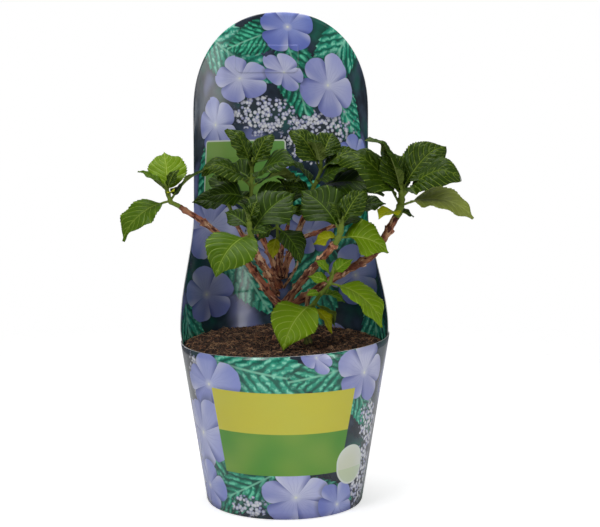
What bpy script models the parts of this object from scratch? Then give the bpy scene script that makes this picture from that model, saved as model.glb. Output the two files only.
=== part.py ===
"""Potted hydrangea: a pot of peat in a flared sleeve with a tall back, and the shrub that grows in it.

Lengths are metres, +Z is up and the front faces -Y. The origin is the centre of the pot's flat underside.
"""

import math
from collections import namedtuple

import bmesh
import bpy
import numpy as np
from mathutils import Vector
from mathutils.bvhtree import BVHTree

# Units and running gaps
MM = 0.001
GAP = 0.3 * MM
LEAF_CLEARANCE = 0.5 * MM
WELD = 0.001 * MM

# Sleeve: a flared wrap, cut off at the front and carried up into a tall back
SLEEVE_FOOT_RADIUS = 86.8 * MM
SLEEVE_RIM_RADIUS = 115.8 * MM
SLEEVE_FOOT_HEIGHT = 0.5 * MM
SLEEVE_RIM_HEIGHT = 186.0 * MM
SLEEVE_RIM_SLOPE = 0.042
SLEEVE_WALL = 0.8 * MM
SLEEVE_COLUMNS = 56
SLEEVE_WRAP_ROWS = 3
SLEEVE_BACK_ROWS = 11
BACK_HALF_WIDTH = 101.5 * MM
BACK_SHIFT = -4.0 * MM
BACK_SHOULDER_HEIGHT = 432.0 * MM
BACK_TOP_HEIGHT = 549.0 * MM
BACK_ARCH_POWER = 2.25
BACK_NARROWS = (200.0 * MM, 320.0 * MM)
BACK_UNROLLS = (186.0 * MM, 330.0 * MM)
BACK_EDGE_DEPTH = 85.0 * MM
BACK_EDGE_LEAN = 15.0 * MM
BACK_MIDDLE_DEPTH = 12.0 * MM

# Pot and peat
POT_WALL = 1.6 * MM
POT_FLOOR = 3.0 * MM
POT_FOOT_RADIUS = 83.0 * MM
POT_LIP_TOP = 168.0 * MM
POT_LIP_DROP = 12.0 * MM
POT_LIP_STEP = 2.4 * MM
POT_STEPS = 40
SOIL_HEIGHT = 181.0 * MM
SOIL_SHOULDER = 179.5 * MM
SOIL_EDGE = 175.0 * MM
SOIL_FLAT_RADIUS = 80.0 * MM
SOIL_SHOULDER_INSET = 4.0 * MM

# Where a stem's flat foot stands, in millimetres as in the paths below
FOOT = (SOIL_HEIGHT + GAP) / MM

# Limbs
LIMB_STEP = 11.0 * MM
LIMB_SIDES_RESOLUTION = 2
LIMB_SHARP_ANGLE = 50.0
KNUCKLE_SPACING = 26.0 * MM
KNUCKLE_SWELL = 0.16
KNUCKLE_SHARPNESS = 3
FLARE_HEIGHT = 14.0 * MM
FLARE_SWELL = 0.4

# Leafy stems
STEM_STEP = 12.0 * MM
STEM_COLLAR = 2.0 * MM
STEM_SIDES_RESOLUTION = 1
STEM_TIP_SHARE = 0.75

# Leaves: a short stalk, then an egg-shaped blade folded along its midrib
STALK_SHARE = 0.13
STALK_RADIUS = 1.3 * MM
STALK_YOUNG_RADIUS = 0.9 * MM
STALK_DEPTH_RATIO = 1.6
STALK_ROWS = (0.0, 0.6)
FULL_REACH = 65.0 * MM
BLADE_RATIO_YOUNG = 0.62
BLADE_RATIO_FULL = 0.8
BLADE_WIDEST = 0.42
BLADE_BASE_POWER = 0.7
BLADE_TIP_POWER = 1.2
BLADE_DRAWN_OUT = (0.25, 0.85)
BLADE_ROWS = (0.0, 0.09, 0.25, 0.45, 0.65, 0.84, 1.0)
BLADE_SETTLES = 0.3
BLADE_THICKNESS_SHARE = 0.012
BLADE_LEAST_THICKNESS = 0.8 * MM
BLADE_TIP_WIDTH = 0.5 * MM
DROOP_LEAST = 15.0
DROOP_PER_REACH = 45.0 / (70.0 * MM)
DROOP_POWER = 1.2
DROOP_EASE = 0.65
UPRIGHT = (40.0, 85.0)
FOLD_FULL = 12.0
FOLD_YOUNG = 30.0
TWIST_SPREAD = 12.0
LIGHT_TURN = 50.0
MIDRIB_STEPS = 12

Finish = namedtuple("Finish", "colour roughness")

# Finishes, with colours in linear light
PEAT = Finish((0.035, 0.018, 0.012), 0.95)
POT_PLASTIC = Finish((0.012, 0.012, 0.013), 0.5)
SLEEVE_PRINT = Finish((0.17, 0.2, 0.42), 0.22)
BARK = Finish((0.2, 0.075, 0.035), 0.75)
TAN_BARK = Finish((0.45, 0.25, 0.12), 0.75)
GREEN_BARK = Finish((0.1, 0.16, 0.03), 0.6)
LEAF_GREEN = Finish((0.06, 0.16, 0.015), 0.45)

Limb = namedtuple("Limb", "name finish foot_radius tip_radius points")
Shoot = namedtuple("Shoot", "name bough seed radius stem pairs")
Pair = namedtuple("Pair", "share heading first second")
Leaf = namedtuple("Leaf", "reach rise face turn", defaults=(1.0, 0.0))
NO_LEAF = Leaf(0.0, 0.0)

# The trunk and the boughs, each a path from its foot to its tip in millimetres
TRUNK = Limb("trunk", BARK, 12.0, 10.0, ((4, 6, FOOT), (4, 6, 187), (-1, 7, 207), (-6, 9, 232), (-6, 10, 263)))
BOUGHS = (
    Limb("bough_far_left", BARK, 4.8, 3.1,
         ((-6, 2, 222), (-18, 0, 237), (-42, -10, 272), (-79, -25, 311), (-114, -30, 336))),
    Limb("bough_right", BARK, 4.8, 4.2, ((0, 0, 222), (17, -10, 248), (39, -35, 277), (55, -50, 298))),
    Limb("bough_far_right", BARK, 5.0, 4.6,
         ((0, 12, 216), (29, 20, 232), (63, 18, 255), (83, 10, 267), (100, 0, 280), (113, -5, 302),
          (124, -10, 323))),
    Limb("bough_front_left", BARK, 5.2, 4.2,
         ((-6, 6, 243), (-20, -15, 264), (-32, -45, 288), (-35, -60, 295))),
    Limb("bough_upper_right", BARK, 4.4, 3.4, ((-3, 11, 252), (7, 18, 279), (18, 20, 309), (27, 20, 332))),
    Limb("bough_upper_left", BARK, 4.2, 3.2, ((-8, 11, 256), (-18, 12, 283), (-32, 18, 310), (-37, 20, 332))),
    Limb("bough_centre", BARK, 3.4, 2.6, ((-6, 6, 256), (-7, -5, 279), (-7, -15, 294))),
    Limb("bough_back_left", BARK, 3.6, 2.5, ((-8, 12, 232), (-25, 34, 262), (-50, 42, 300), (-60, 45, 322))),
    Limb("bough_back_right", BARK, 2.9, 2.4, ((13, 20, 294), (34, 34, 299), (55, 44, 306), (69, 50, 316))),
    Limb("bough_back", BARK, 3.4, 2.4, ((-5, 13, 250), (-3, 32, 280), (4, 45, 307))),
    Limb("stem_low_right", GREEN_BARK, 3.6, 2.8, ((26, -22, FOOT), (26, -22, 190), (28, -26, 218))),
    Limb("cut_stub", TAN_BARK, 3.4, 2.6, ((22, -6, FOOT), (22, -6, 190), (25, -8, 220), (28, -9, 242))),
    Limb("dead_twig", TAN_BARK, 1.8, 1.2, ((-1, 3, 241), (8, -3, 256), (14, -3, 268), (15, -3, 280))),
)

# The leafy shoots: the stem's path, then its opposite pairs from the lowest up, in millimetres and degrees
SHOOTS = (
    Shoot("leaves_front_left", "bough_front_left", 11, 3.4, ((-36, -70, 311), (-38, -70, 324)), (
        Pair(0.5, 215, Leaf(81, 2, 0.8, 23), Leaf(75, 58, 0.9)),
        Pair(0.7, 320, Leaf(24, 10), Leaf(41, 44)),
        Pair(0.92, 220, Leaf(28, 74, 0.6), Leaf(28, 74, 0.6)))),
    Shoot("leaves_right", "bough_right", 12, 3.2, ((60, -50, 308), (62, -50, 319)), (
        Pair(0.3, 350, Leaf(63, 8, 1.2, 24), Leaf(33, 1, 1.3, -21)),
        Pair(0.6, 320, NO_LEAF, Leaf(73, 58)),
        Pair(0.72, 65, Leaf(48, 36), NO_LEAF),
        Pair(0.9, 20, Leaf(50, 68, 0.8), Leaf(31, 74, 0.8)))),
    Shoot("leaves_far_left", "bough_far_left", 13, 2.6, ((-124, -30, 341), (-128, -30, 354)), (
        Pair(0.5, 200, Leaf(74, -7, 0.4, 9), Leaf(62, 54, -0.6, 15)),
        Pair(0.78, 292, Leaf(20, 30), Leaf(63, 63, 0.25, -12)),
        Pair(0.95, 195, Leaf(40, 52, 0.2), Leaf(27, 74, 0.5)))),
    Shoot("leaves_far_right", "bough_far_right", 14, 4.2, ((129, -10, 337), (130, -10, 352)), (
        Pair(0.15, 220, Leaf(41, 15, 0.6, 14), Leaf(26, 0)),
        Pair(0.4, 5, Leaf(90, 26, 0.3, -24), Leaf(92, 66, 0.8)),
        Pair(0.65, 325, Leaf(82, 54, 0.9), Leaf(61, 82, 0.6)),
        Pair(0.9, 10, Leaf(76, 66, 0.9), Leaf(75, 78, 0.1)))),
    Shoot("leaves_upper_left", "bough_upper_left", 15, 2.3, ((-37, 20, 354), (-36, 20, 377)), (
        Pair(0.15, 190, Leaf(54, 24), Leaf(50, 20)),
        Pair(0.45, 210, Leaf(69, 50, 0.6), Leaf(63, 34, -0.3)),
        Pair(0.62, 320, Leaf(70, 46, 0.9), Leaf(47, 36)),
        Pair(0.86, 195, Leaf(56, 76), Leaf(49, 74, 0.9)))),
    Shoot("leaves_upper_right", "bough_upper_right", 16, 2.3, ((32, 20, 351), (41, 20, 371), (41, 20, 382)), (
        Pair(0.3, 350, Leaf(88, 31, 0.6), Leaf(30, 25)),
        Pair(0.42, 335, Leaf(61, 48, 0.8), Leaf(48, 58, -0.2)),
        Pair(0.78, 5, Leaf(55, 48, 0.5), Leaf(58, 70)),
        Pair(0.93, 240, Leaf(40, 68, 0.8), Leaf(50, 64)))),
    Shoot("leaves_centre", "bough_centre", 17, 1.7, ((-8, -20, 314), (-8, -20, 325)), (
        Pair(0.3, 250, Leaf(27, -60, 0.8, -29), NO_LEAF),
        Pair(0.6, 350, Leaf(51, -28, 0.4, -25), Leaf(27, -20)),
        Pair(0.85, 45, Leaf(35, 38, 0.8), Leaf(22, 40)),
        Pair(0.97, 130, Leaf(30, 62), Leaf(27, 66)))),
    Shoot("leaves_low_right", "stem_low_right", 18, 2.5, ((38, -35, 238), (50, -45, 254), (52, -47, 264)), (
        Pair(0.15, 318, Leaf(38, -35, 0.3, 27), NO_LEAF),
        Pair(0.22, 206, Leaf(76, -9, 1.0, 27), Leaf(39, -27, 0, 3)),
        Pair(0.5, 20, Leaf(31, -6, 0.5), Leaf(18, 10)),
        Pair(0.8, 345, Leaf(80, -6, 0.15, -7), Leaf(26, 30)),
        Pair(0.95, 20, Leaf(31, 50, 0.8), Leaf(27, 56, 0.8)))),
    Shoot("leaves_back_left", "bough_back_left", 19, 2.1, ((-64, 45, 333), (-66, 45, 347)), (
        Pair(0.3, 190, Leaf(44, 26), Leaf(36, 32)),
        Pair(0.65, 290, NO_LEAF, Leaf(50, 56)),
        Pair(0.92, 200, Leaf(31, 74), Leaf(30, 72)))),
    Shoot("leaves_back_right", "bough_back_right", 20, 2.1, ((74, 50, 322), (77, 50, 337)), (
        Pair(0.3, 10, Leaf(46, 32, 0.8), Leaf(44, 20)),
        Pair(0.65, 280, Leaf(42, 42), Leaf(47, 64)),
        Pair(0.92, 200, Leaf(30, 74), Leaf(30, 70)))),
    Shoot("leaves_back", "bough_back", 21, 2.0, ((5, 50, 322), (6, 50, 338)), (
        Pair(0.3, 190, Leaf(40, 20), Leaf(28, 36)),
        Pair(0.65, 250, Leaf(26, 18), Leaf(49, 60)),
        Pair(0.92, 200, Leaf(29, 76), Leaf(29, 76)))),
)


def clear_scene():
    for item in list(bpy.data.objects):
        bpy.data.objects.remove(item, do_unlink=True)


def new_collection(name):
    made = bpy.data.collections.new(name)
    bpy.context.scene.collection.children.link(made)
    return made


def new_material(name, finish):
    made = bpy.data.materials.new(name)
    made.use_nodes = True
    shader = made.node_tree.nodes["Principled BSDF"]
    shader.inputs["Base Color"].default_value = (*finish.colour, 1.0)
    shader.inputs["Roughness"].default_value = finish.roughness
    shader.inputs["Metallic"].default_value = 0.0
    made.diffuse_color = (*finish.colour, 1.0)
    return made


def new_object(name, mesh, collection, material=None):
    made = bpy.data.objects.new(name, mesh)
    collection.objects.link(made)
    if material is not None:
        mesh.materials.clear()
        mesh.materials.append(material)
    return made


def evaluated_mesh(item):
    """The mesh of an object with its modifiers, or of a curve, welded at its seams."""
    graph = bpy.context.evaluated_depsgraph_get()
    mesh = bpy.data.meshes.new_from_object(item.evaluated_get(graph))
    work = bmesh.new()
    work.from_mesh(mesh)
    bmesh.ops.remove_doubles(work, verts=work.verts, dist=WELD)
    bmesh.ops.recalc_face_normals(work, faces=work.faces)
    work.to_mesh(mesh)
    work.free()
    return mesh


def remove_object(item):
    data = item.data
    bpy.data.objects.remove(item, do_unlink=True)
    if isinstance(data, bpy.types.Mesh):
        bpy.data.meshes.remove(data)
    else:
        bpy.data.curves.remove(data)


def smooth_share(value, low, high):
    share = min(max((value - low) / (high - low), 0.0), 1.0)
    return share * share * (3.0 - 2.0 * share)


def mixed(first, second, share):
    return first + (second - first) * share


def in_metres(points):
    return [Vector(point) * MM for point in points]


# Sleeve

def wrap_radius(height):
    share = (height - SLEEVE_FOOT_HEIGHT) / (SLEEVE_RIM_HEIGHT - SLEEVE_FOOT_HEIGHT)
    return mixed(SLEEVE_FOOT_RADIUS, SLEEVE_RIM_RADIUS, share)


def rim_height(angle):
    """The height of the cut front edge, a little higher at the right. Angles turn from +Y towards +X."""
    return SLEEVE_RIM_HEIGHT + SLEEVE_RIM_SLOPE * SLEEVE_RIM_RADIUS * math.sin(angle)


def back_top(angle):
    """The height of the arched top above one column of the back."""
    across = min(abs(math.sin(angle)), 1.0)
    arch = (1.0 - across ** BACK_ARCH_POWER) ** (1.0 / BACK_ARCH_POWER)
    return mixed(BACK_SHOULDER_HEIGHT, BACK_TOP_HEIGHT, arch)


def wrap_point(angle, height):
    radius = wrap_radius(height)
    return Vector((radius * math.sin(angle), radius * math.cos(angle), height))


def back_point(angle, height):
    """A point of the back, which opens from the round of the wrap to a shallow curve."""
    narrow = smooth_share(height, *BACK_NARROWS)
    flat = smooth_share(height, *BACK_UNROLLS)
    rise = max(height - SLEEVE_RIM_HEIGHT, 0.0) / (BACK_TOP_HEIGHT - SLEEVE_RIM_HEIGHT)
    radius = wrap_radius(min(height, SLEEVE_RIM_HEIGHT + SLEEVE_RIM_SLOPE * SLEEVE_RIM_RADIUS))
    half_width = mixed(radius, BACK_HALF_WIDTH, narrow)
    edge = BACK_EDGE_DEPTH * flat + BACK_EDGE_LEAN * rise
    middle = radius + BACK_MIDDLE_DEPTH * math.sqrt(rise)
    bow = mixed(math.cos(angle), math.cos(angle) ** 2, flat)
    return Vector((half_width * math.sin(angle) + BACK_SHIFT * flat, mixed(edge, middle, bow), height))


def sleeve_surface():
    """The sleeve as an open sheet: rings up to the rim, then the back half carried on to its arch."""
    work = bmesh.new()
    angles = [2.0 * math.pi * k / SLEEVE_COLUMNS for k in range(SLEEVE_COLUMNS)]
    rings = []
    for row in range(SLEEVE_WRAP_ROWS + 1):
        share = row / SLEEVE_WRAP_ROWS
        rings.append([
            work.verts.new(wrap_point(angle, mixed(SLEEVE_FOOT_HEIGHT, rim_height(angle), share)))
            for angle in angles
        ])
    for lower, upper in zip(rings, rings[1:]):
        for k in range(SLEEVE_COLUMNS):
            after = (k + 1) % SLEEVE_COLUMNS
            work.faces.new((lower[after], lower[k], upper[k], upper[after]))
    quarter = SLEEVE_COLUMNS // 4
    columns = [k % SLEEVE_COLUMNS for k in range(-quarter, quarter + 1)]
    below = [rings[-1][k] for k in columns]
    for row in range(1, SLEEVE_BACK_ROWS + 1):
        share = row / SLEEVE_BACK_ROWS
        above = []
        for k in columns:
            height = mixed(rim_height(angles[k]), back_top(angles[k]), share)
            above.append(work.verts.new(back_point(angles[k], height)))
        for k in range(len(columns) - 1):
            work.faces.new((below[k + 1], below[k], above[k], above[k + 1]))
        below = above
    mesh = bpy.data.meshes.new("sleeve")
    work.to_mesh(mesh)
    work.free()
    return mesh


def build_sleeve(parts):
    made = new_object("sleeve", sleeve_surface(), parts, new_material("sleeve_print", SLEEVE_PRINT))
    wall = made.modifiers.new("wall", "SOLIDIFY")
    wall.thickness = SLEEVE_WALL
    wall.offset = 0.0
    wall.use_even_offset = True
    made.data.shade_smooth()
    return made


# Pot and peat

def turned(name, profile, parts, material):
    """A solid turned from a profile that starts and ends on the axis."""
    mesh = bpy.data.meshes.new(name)
    points = [(radius, 0.0, height) for radius, height in profile]
    mesh.from_pydata(points, [(k, k + 1) for k in range(len(points) - 1)], [])
    made = new_object(name, mesh, parts, material)
    turn = made.modifiers.new("turn", "SCREW")
    turn.axis = "Z"
    turn.steps = POT_STEPS
    turn.render_steps = POT_STEPS
    turn.use_merge_vertices = True
    turn.merge_threshold = WELD
    return made


def pot_inner_radius(height):
    share = (height - POT_FLOOR) / (POT_LIP_TOP - POT_FLOOR)
    top = wrap_radius(POT_LIP_TOP) - SLEEVE_WALL / 2 - GAP - POT_LIP_STEP - POT_WALL
    return mixed(POT_FOOT_RADIUS - POT_WALL, top, share)


def build_pot(parts):
    lip_foot = POT_LIP_TOP - POT_LIP_DROP
    clear = SLEEVE_WALL / 2 + 2 * GAP
    profile = (
        (0.0, POT_FLOOR),
        (pot_inner_radius(POT_FLOOR), POT_FLOOR),
        (pot_inner_radius(POT_LIP_TOP), POT_LIP_TOP),
        (wrap_radius(POT_LIP_TOP) - clear, POT_LIP_TOP),
        (wrap_radius(lip_foot) - clear, lip_foot),
        (pot_inner_radius(lip_foot) + POT_WALL, lip_foot),
        (POT_FOOT_RADIUS, 0.0),
        (0.0, 0.0),
    )
    return turned("pot", profile, parts, new_material("pot_plastic", POT_PLASTIC))


def build_soil(parts):
    """The peat fills the pot, spreads over its lip and lies flat round the shrub's foot."""
    floor = POT_FLOOR + GAP
    over_lip = POT_LIP_TOP + GAP
    neck = pot_inner_radius(POT_LIP_TOP) - 2 * GAP
    clear = SLEEVE_WALL / 2 + 2 * GAP
    spread = wrap_radius(SOIL_EDGE) - clear
    profile = (
        (0.0, SOIL_HEIGHT),
        (SOIL_FLAT_RADIUS, SOIL_HEIGHT),
        (spread - SOIL_SHOULDER_INSET, SOIL_SHOULDER),
        (spread, SOIL_EDGE),
        (wrap_radius(over_lip) - clear, over_lip),
        (neck, over_lip),
        (pot_inner_radius(floor) - 2 * GAP, floor),
        (0.0, floor),
    )
    return turned("soil", profile, parts, new_material("peat", PEAT))


# Limbs

def smooth_path(points, step):
    """Points about one step apart on a smooth curve through the given ones."""
    ends = [points[0] * 2 - points[1], *points, points[-1] * 2 - points[-2]]
    path = [points[0].copy()]
    for k in range(1, len(ends) - 2):
        before, start, stop, after = ends[k - 1:k + 3]
        count = max(1, round((stop - start).length / step))
        for turn in range(1, count + 1):
            t = turn / count
            path.append(0.5 * (
                2 * start + (stop - before) * t
                + (2 * before - 5 * start + 4 * stop - after) * t ** 2
                + (3 * start - before - 3 * stop + after) * t ** 3
            ))
    return path


def tube_mesh(name, path, radii, resolution):
    """A closed tapering tube along a path."""
    curve = bpy.data.curves.new(name, "CURVE")
    curve.dimensions = "3D"
    curve.bevel_depth = 1.0
    curve.bevel_resolution = resolution
    curve.use_fill_caps = True
    spline = curve.splines.new("POLY")
    spline.points.add(len(path) - 1)
    for point, place, radius in zip(spline.points, path, radii):
        point.co = (*place, 1.0)
        point.radius = radius
    holder = bpy.data.objects.new(name, curve)
    bpy.context.scene.collection.objects.link(holder)
    mesh = evaluated_mesh(holder)
    remove_object(holder)
    return mesh


def limb_radii(limb, path, swell):
    """The limb's radius along its path: a steady taper, thicker at each knuckle and at a foot on the peat."""
    lengths = [0.0]
    for before, after in zip(path, path[1:]):
        lengths.append(lengths[-1] + (after - before).length)
    stands = path[0].z - SOIL_HEIGHT < 2 * GAP
    radii = []
    for place, run in zip(path, lengths):
        radius = mixed(limb.foot_radius, limb.tip_radius, run / lengths[-1]) * MM
        knuckle = 0.5 + 0.5 * math.cos(2.0 * math.pi * run / KNUCKLE_SPACING)
        radius *= 1.0 + KNUCKLE_SWELL * (knuckle ** KNUCKLE_SHARPNESS - 0.5)
        if stands:
            radius *= 1.0 + FLARE_SWELL * (1.0 - smooth_share(place.z - SOIL_HEIGHT, 0.0, FLARE_HEIGHT))
        radii.append(radius + swell)
    return radii


def limb_mesh(limb, swell=0.0):
    path = smooth_path(in_metres(limb.points), LIMB_STEP)
    return tube_mesh(limb.name, path, limb_radii(limb, path, swell), LIMB_SIDES_RESOLUTION)


def cut_clear(item, cutters):
    """Cuts each cutter away from the object and keeps the piece that reaches furthest from its foot."""
    for cutter in cutters:
        cut = item.modifiers.new("clear", "BOOLEAN")
        cut.operation = "DIFFERENCE"
        cut.object = cutter
    mesh = evaluated_mesh(item)
    item.modifiers.clear()
    old = item.data
    item.data = mesh
    bpy.data.meshes.remove(old)
    keep_largest_piece(mesh)


def keep_largest_piece(mesh):
    work = bmesh.new()
    work.from_mesh(mesh)
    left = set(work.verts)
    pieces = []
    while left:
        piece = []
        edge = [left.pop()]
        while edge:
            vert = edge.pop()
            piece.append(vert)
            for link in vert.link_edges:
                other = link.other_vert(vert)
                if other in left:
                    left.remove(other)
                    edge.append(other)
        pieces.append(piece)
    pieces.sort(key=len)
    scraps = [vert for piece in pieces[:-1] for vert in piece]
    bmesh.ops.delete(work, geom=scraps, context="VERTS")
    work.to_mesh(mesh)
    work.free()


def build_limbs(parts, cutters):
    """The trunk, then each bough, cut clear of the limbs made before it."""
    made = []
    swollen = []
    for limb in (TRUNK, *BOUGHS):
        material = new_material(limb.name + "_bark", limb.finish)
        item = new_object(limb.name, limb_mesh(limb), parts, material)
        if swollen:
            cut_clear(item, swollen)
        item.data.shade_smooth()
        item.data.set_sharp_from_angle(angle=math.radians(LIMB_SHARP_ANGLE))
        made.append(item)
        cutter = new_object(limb.name + "_cutter", limb_mesh(limb, GAP), cutters)
        cutter.hide_render = True
        cutter.display_type = "WIRE"
        swollen.append(cutter)
    return made


# Leaves

def midrib(root, heading, rise, reach):
    """Points and directions along a leaf's midrib, from its stalk's root to its tip."""
    droop = (DROOP_LEAST + DROOP_PER_REACH * reach) * (1.0 - DROOP_EASE * smooth_share(rise, *UPRIGHT))
    place = root.copy()
    points = [place.copy()]
    turns = []
    for k in range(MIDRIB_STEPS):
        share = (k + 0.5) / MIDRIB_STEPS
        lift = math.radians(rise - droop * share ** DROOP_POWER)
        ahead = Vector((
            math.cos(lift) * math.cos(heading), math.cos(lift) * math.sin(heading), math.sin(lift),
        ))
        turns.append(ahead)
        place = place + ahead * (reach / MIDRIB_STEPS)
        points.append(place.copy())
    return points, turns


def along(points, turns, share):
    """The point and the direction at one share of a midrib."""
    run = share * MIDRIB_STEPS
    k = min(int(run), MIDRIB_STEPS - 1)
    place = points[k].lerp(points[k + 1], run - k)
    back = turns[max(k - 1, 0)] if run - k < 0.5 else turns[k]
    ahead = turns[k] if run - k < 0.5 else turns[min(k + 1, MIDRIB_STEPS - 1)]
    return place, back.lerp(ahead, (run - k + 0.5) % 1.0).normalized()


def blade_half_width(share, width):
    """Half the blade's width at one share of its length: egg-shaped, drawn out to the tip."""
    power = math.log(0.5) / math.log(BLADE_WIDEST)
    swell = math.sin(math.pi * share ** power) if 0.0 < share < 1.0 else 0.0
    sharpness = mixed(BLADE_BASE_POWER, BLADE_TIP_POWER, smooth_share(share, *BLADE_DRAWN_OUT))
    return 0.5 * width * swell ** sharpness


def leaf_sections(root, heading, rise, reach, face, twist):
    """The leaf's cross-sections: centre, side, normal, half-width, thickness and fold at each."""
    points, turns = midrib(root, heading, rise, reach)
    age = min(reach / FULL_REACH, 1.0)
    blade = reach * (1.0 - STALK_SHARE)
    width = blade * mixed(BLADE_RATIO_YOUNG, BLADE_RATIO_FULL, age)
    fold = math.radians(mixed(FOLD_YOUNG, FOLD_FULL, age))
    thickness = max(BLADE_LEAST_THICKNESS, BLADE_THICKNESS_SHARE * reach)
    stalk = mixed(STALK_YOUNG_RADIUS, STALK_RADIUS, age)
    level = Vector((-math.sin(heading), math.cos(heading), 0.0))
    rows = [(STALK_SHARE * share, stalk, STALK_DEPTH_RATIO * stalk, 0.0) for share in STALK_ROWS]
    for share in BLADE_ROWS:
        half = max(blade_half_width(share, width), mixed(stalk, BLADE_TIP_WIDTH, share))
        thick = mixed(STALK_DEPTH_RATIO * stalk, thickness, smooth_share(share, 0.0, BLADE_SETTLES))
        bend = fold if 0.0 < share < 1.0 else 0.0
        rows.append((mixed(STALK_SHARE, 1.0, share), half, thick, bend))
    sections = []
    for share, half, thick, bend in rows:
        centre, ahead = along(points, turns, share)
        normal = ahead.cross(level).normalized()
        to_light = face * LIGHT_TURN * math.cos(heading) * smooth_share(share, 0.0, BLADE_SETTLES)
        lean = math.radians(twist * share + to_light)
        side = level * math.cos(lean) + normal * math.sin(lean)
        sections.append((centre, side, ahead.cross(side).normalized(), half, thick, bend))
    return sections


def leaf_mesh(sections, name, extra=0.0):
    """A closed thin solid through the sections. Extra makes it fatter all round, for testing clearance."""
    work = bmesh.new()
    rings = []
    for centre, side, normal, half, thick, bend in sections:
        out = side * (half + extra) * math.cos(bend)
        lift = normal * (half + extra) * math.sin(bend)
        deep = normal * (thick / 2 + extra)
        corners = (
            centre + out + lift + deep, centre + deep, centre - out + lift + deep,
            centre - out + lift - deep, centre - deep, centre + out + lift - deep,
        )
        rings.append([work.verts.new(corner) for corner in corners])
    for lower, upper in zip(rings, rings[1:]):
        for k in range(6):
            after = (k + 1) % 6
            work.faces.new((lower[k], lower[after], upper[after], upper[k]))
    for ring in (rings[0][::-1], rings[-1]):
        work.faces.new((ring[0], ring[1], ring[4], ring[5]))
        work.faces.new((ring[1], ring[2], ring[3], ring[4]))
    bmesh.ops.recalc_face_normals(work, faces=work.faces)
    bmesh.ops.triangulate(work, faces=work.faces)
    mesh = bpy.data.meshes.new(name)
    work.to_mesh(mesh)
    work.free()
    return mesh


def tree_of(mesh):
    mesh.calc_loop_triangles()
    return BVHTree.FromPolygons(
        [vert.co.copy() for vert in mesh.vertices], [tuple(tri.vertices) for tri in mesh.loop_triangles],
    )


def touches(tree, others):
    return any(tree.overlap(other) for other in others)


def place_on(path, share):
    """The point at one share of a stem's length."""
    lengths = [(after - before).length for before, after in zip(path, path[1:])]
    run = share * sum(lengths)
    for start, stop, length in zip(path, path[1:], lengths):
        if run <= length:
            return start.lerp(stop, run / length)
        run -= length
    return path[-1].copy()


def shoot_leaves(shoot, path):
    """Each leaf of a shoot by its rule: opposite pairs, with a seeded twist of each blade."""
    dice = np.random.default_rng(shoot.seed)
    leaves = []
    for pair in shoot.pairs:
        root = place_on(path, pair.share)
        for turn, leaf in ((0.0, pair.first), (180.0, pair.second)):
            twist = dice.uniform(-TWIST_SPREAD, TWIST_SPREAD)
            if leaf.reach > 0.0:
                leaves.append(leaf_sections(
                    root, math.radians(pair.heading + turn + leaf.turn), leaf.rise, leaf.reach * MM, leaf.face, twist))
    return leaves


def stem_path(shoot):
    """The shoot's stem, which goes on from its bough's tip across the running gap."""
    bough = next(limb for limb in BOUGHS if limb.name == shoot.bough)
    before, tip = smooth_path(in_metres(bough.points), LIMB_STEP)[-2:]
    ahead = (tip - before).normalized()
    foot = tip + ahead * GAP
    return smooth_path([foot, foot + ahead * STEM_COLLAR, *in_metres(shoot.stem)], STEM_STEP)


def build_mass(shoot, parts, obstacles, material):
    """One shoot: its stem with every leaf that keeps clear of the rest, joined into one solid."""
    path = stem_path(shoot)
    radii = [shoot.radius * MM * mixed(1.0, STEM_TIP_SHARE, k / (len(path) - 1)) for k in range(len(path))]
    stem = new_object(shoot.name, tube_mesh(shoot.name, path, radii, STEM_SIDES_RESOLUTION), parts, material)
    loose = new_collection(shoot.name + "_leaves")
    for sections in shoot_leaves(shoot, path):
        reach_test = tree_of(leaf_mesh(sections[1:], "test", LEAF_CLEARANCE))
        if touches(reach_test, obstacles):
            continue
        leaf = new_object(shoot.name + "_leaf", leaf_mesh(sections, shoot.name), loose)
        leaf.hide_render = True
    join = stem.modifiers.new("join", "BOOLEAN")
    join.operation = "UNION"
    join.solver = "MANIFOLD"
    join.operand_type = "COLLECTION"
    join.collection = loose
    mesh = evaluated_mesh(stem)
    stem.modifiers.clear()
    old = stem.data
    stem.data = mesh
    bpy.data.meshes.remove(old)
    for item in list(loose.objects):
        remove_object(item)
    bpy.data.collections.remove(loose)
    mesh.materials.clear()
    mesh.materials.append(material)
    obstacles.append(tree_of(mesh))
    return stem


def main():
    clear_scene()
    parts = new_collection("potted_hydrangea")
    cutters = new_collection("cutters")
    sleeve = build_sleeve(parts)
    pot = build_pot(parts)
    soil = build_soil(parts)
    limbs = build_limbs(parts, cutters)
    obstacles = [tree_of(evaluated_mesh(item)) for item in (sleeve, pot, soil, *limbs)]
    leaf_green = new_material("leaf_green", LEAF_GREEN)
    for shoot in SHOOTS:
        build_mass(shoot, parts, obstacles, leaf_green)


main()
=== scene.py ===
"""Looks of the potted shrub: printed sleeve, peat, barked limbs and veined leaves, in metres with +Z up.

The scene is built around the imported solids. The front faces -Y, and the origin is under the pot's middle.
"""

import logging
import math
from dataclasses import dataclass, field
from enum import Enum
from typing import Callable, Sequence

import bpy
import numpy as np
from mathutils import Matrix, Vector, noise
from mathutils.kdtree import KDTree

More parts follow.
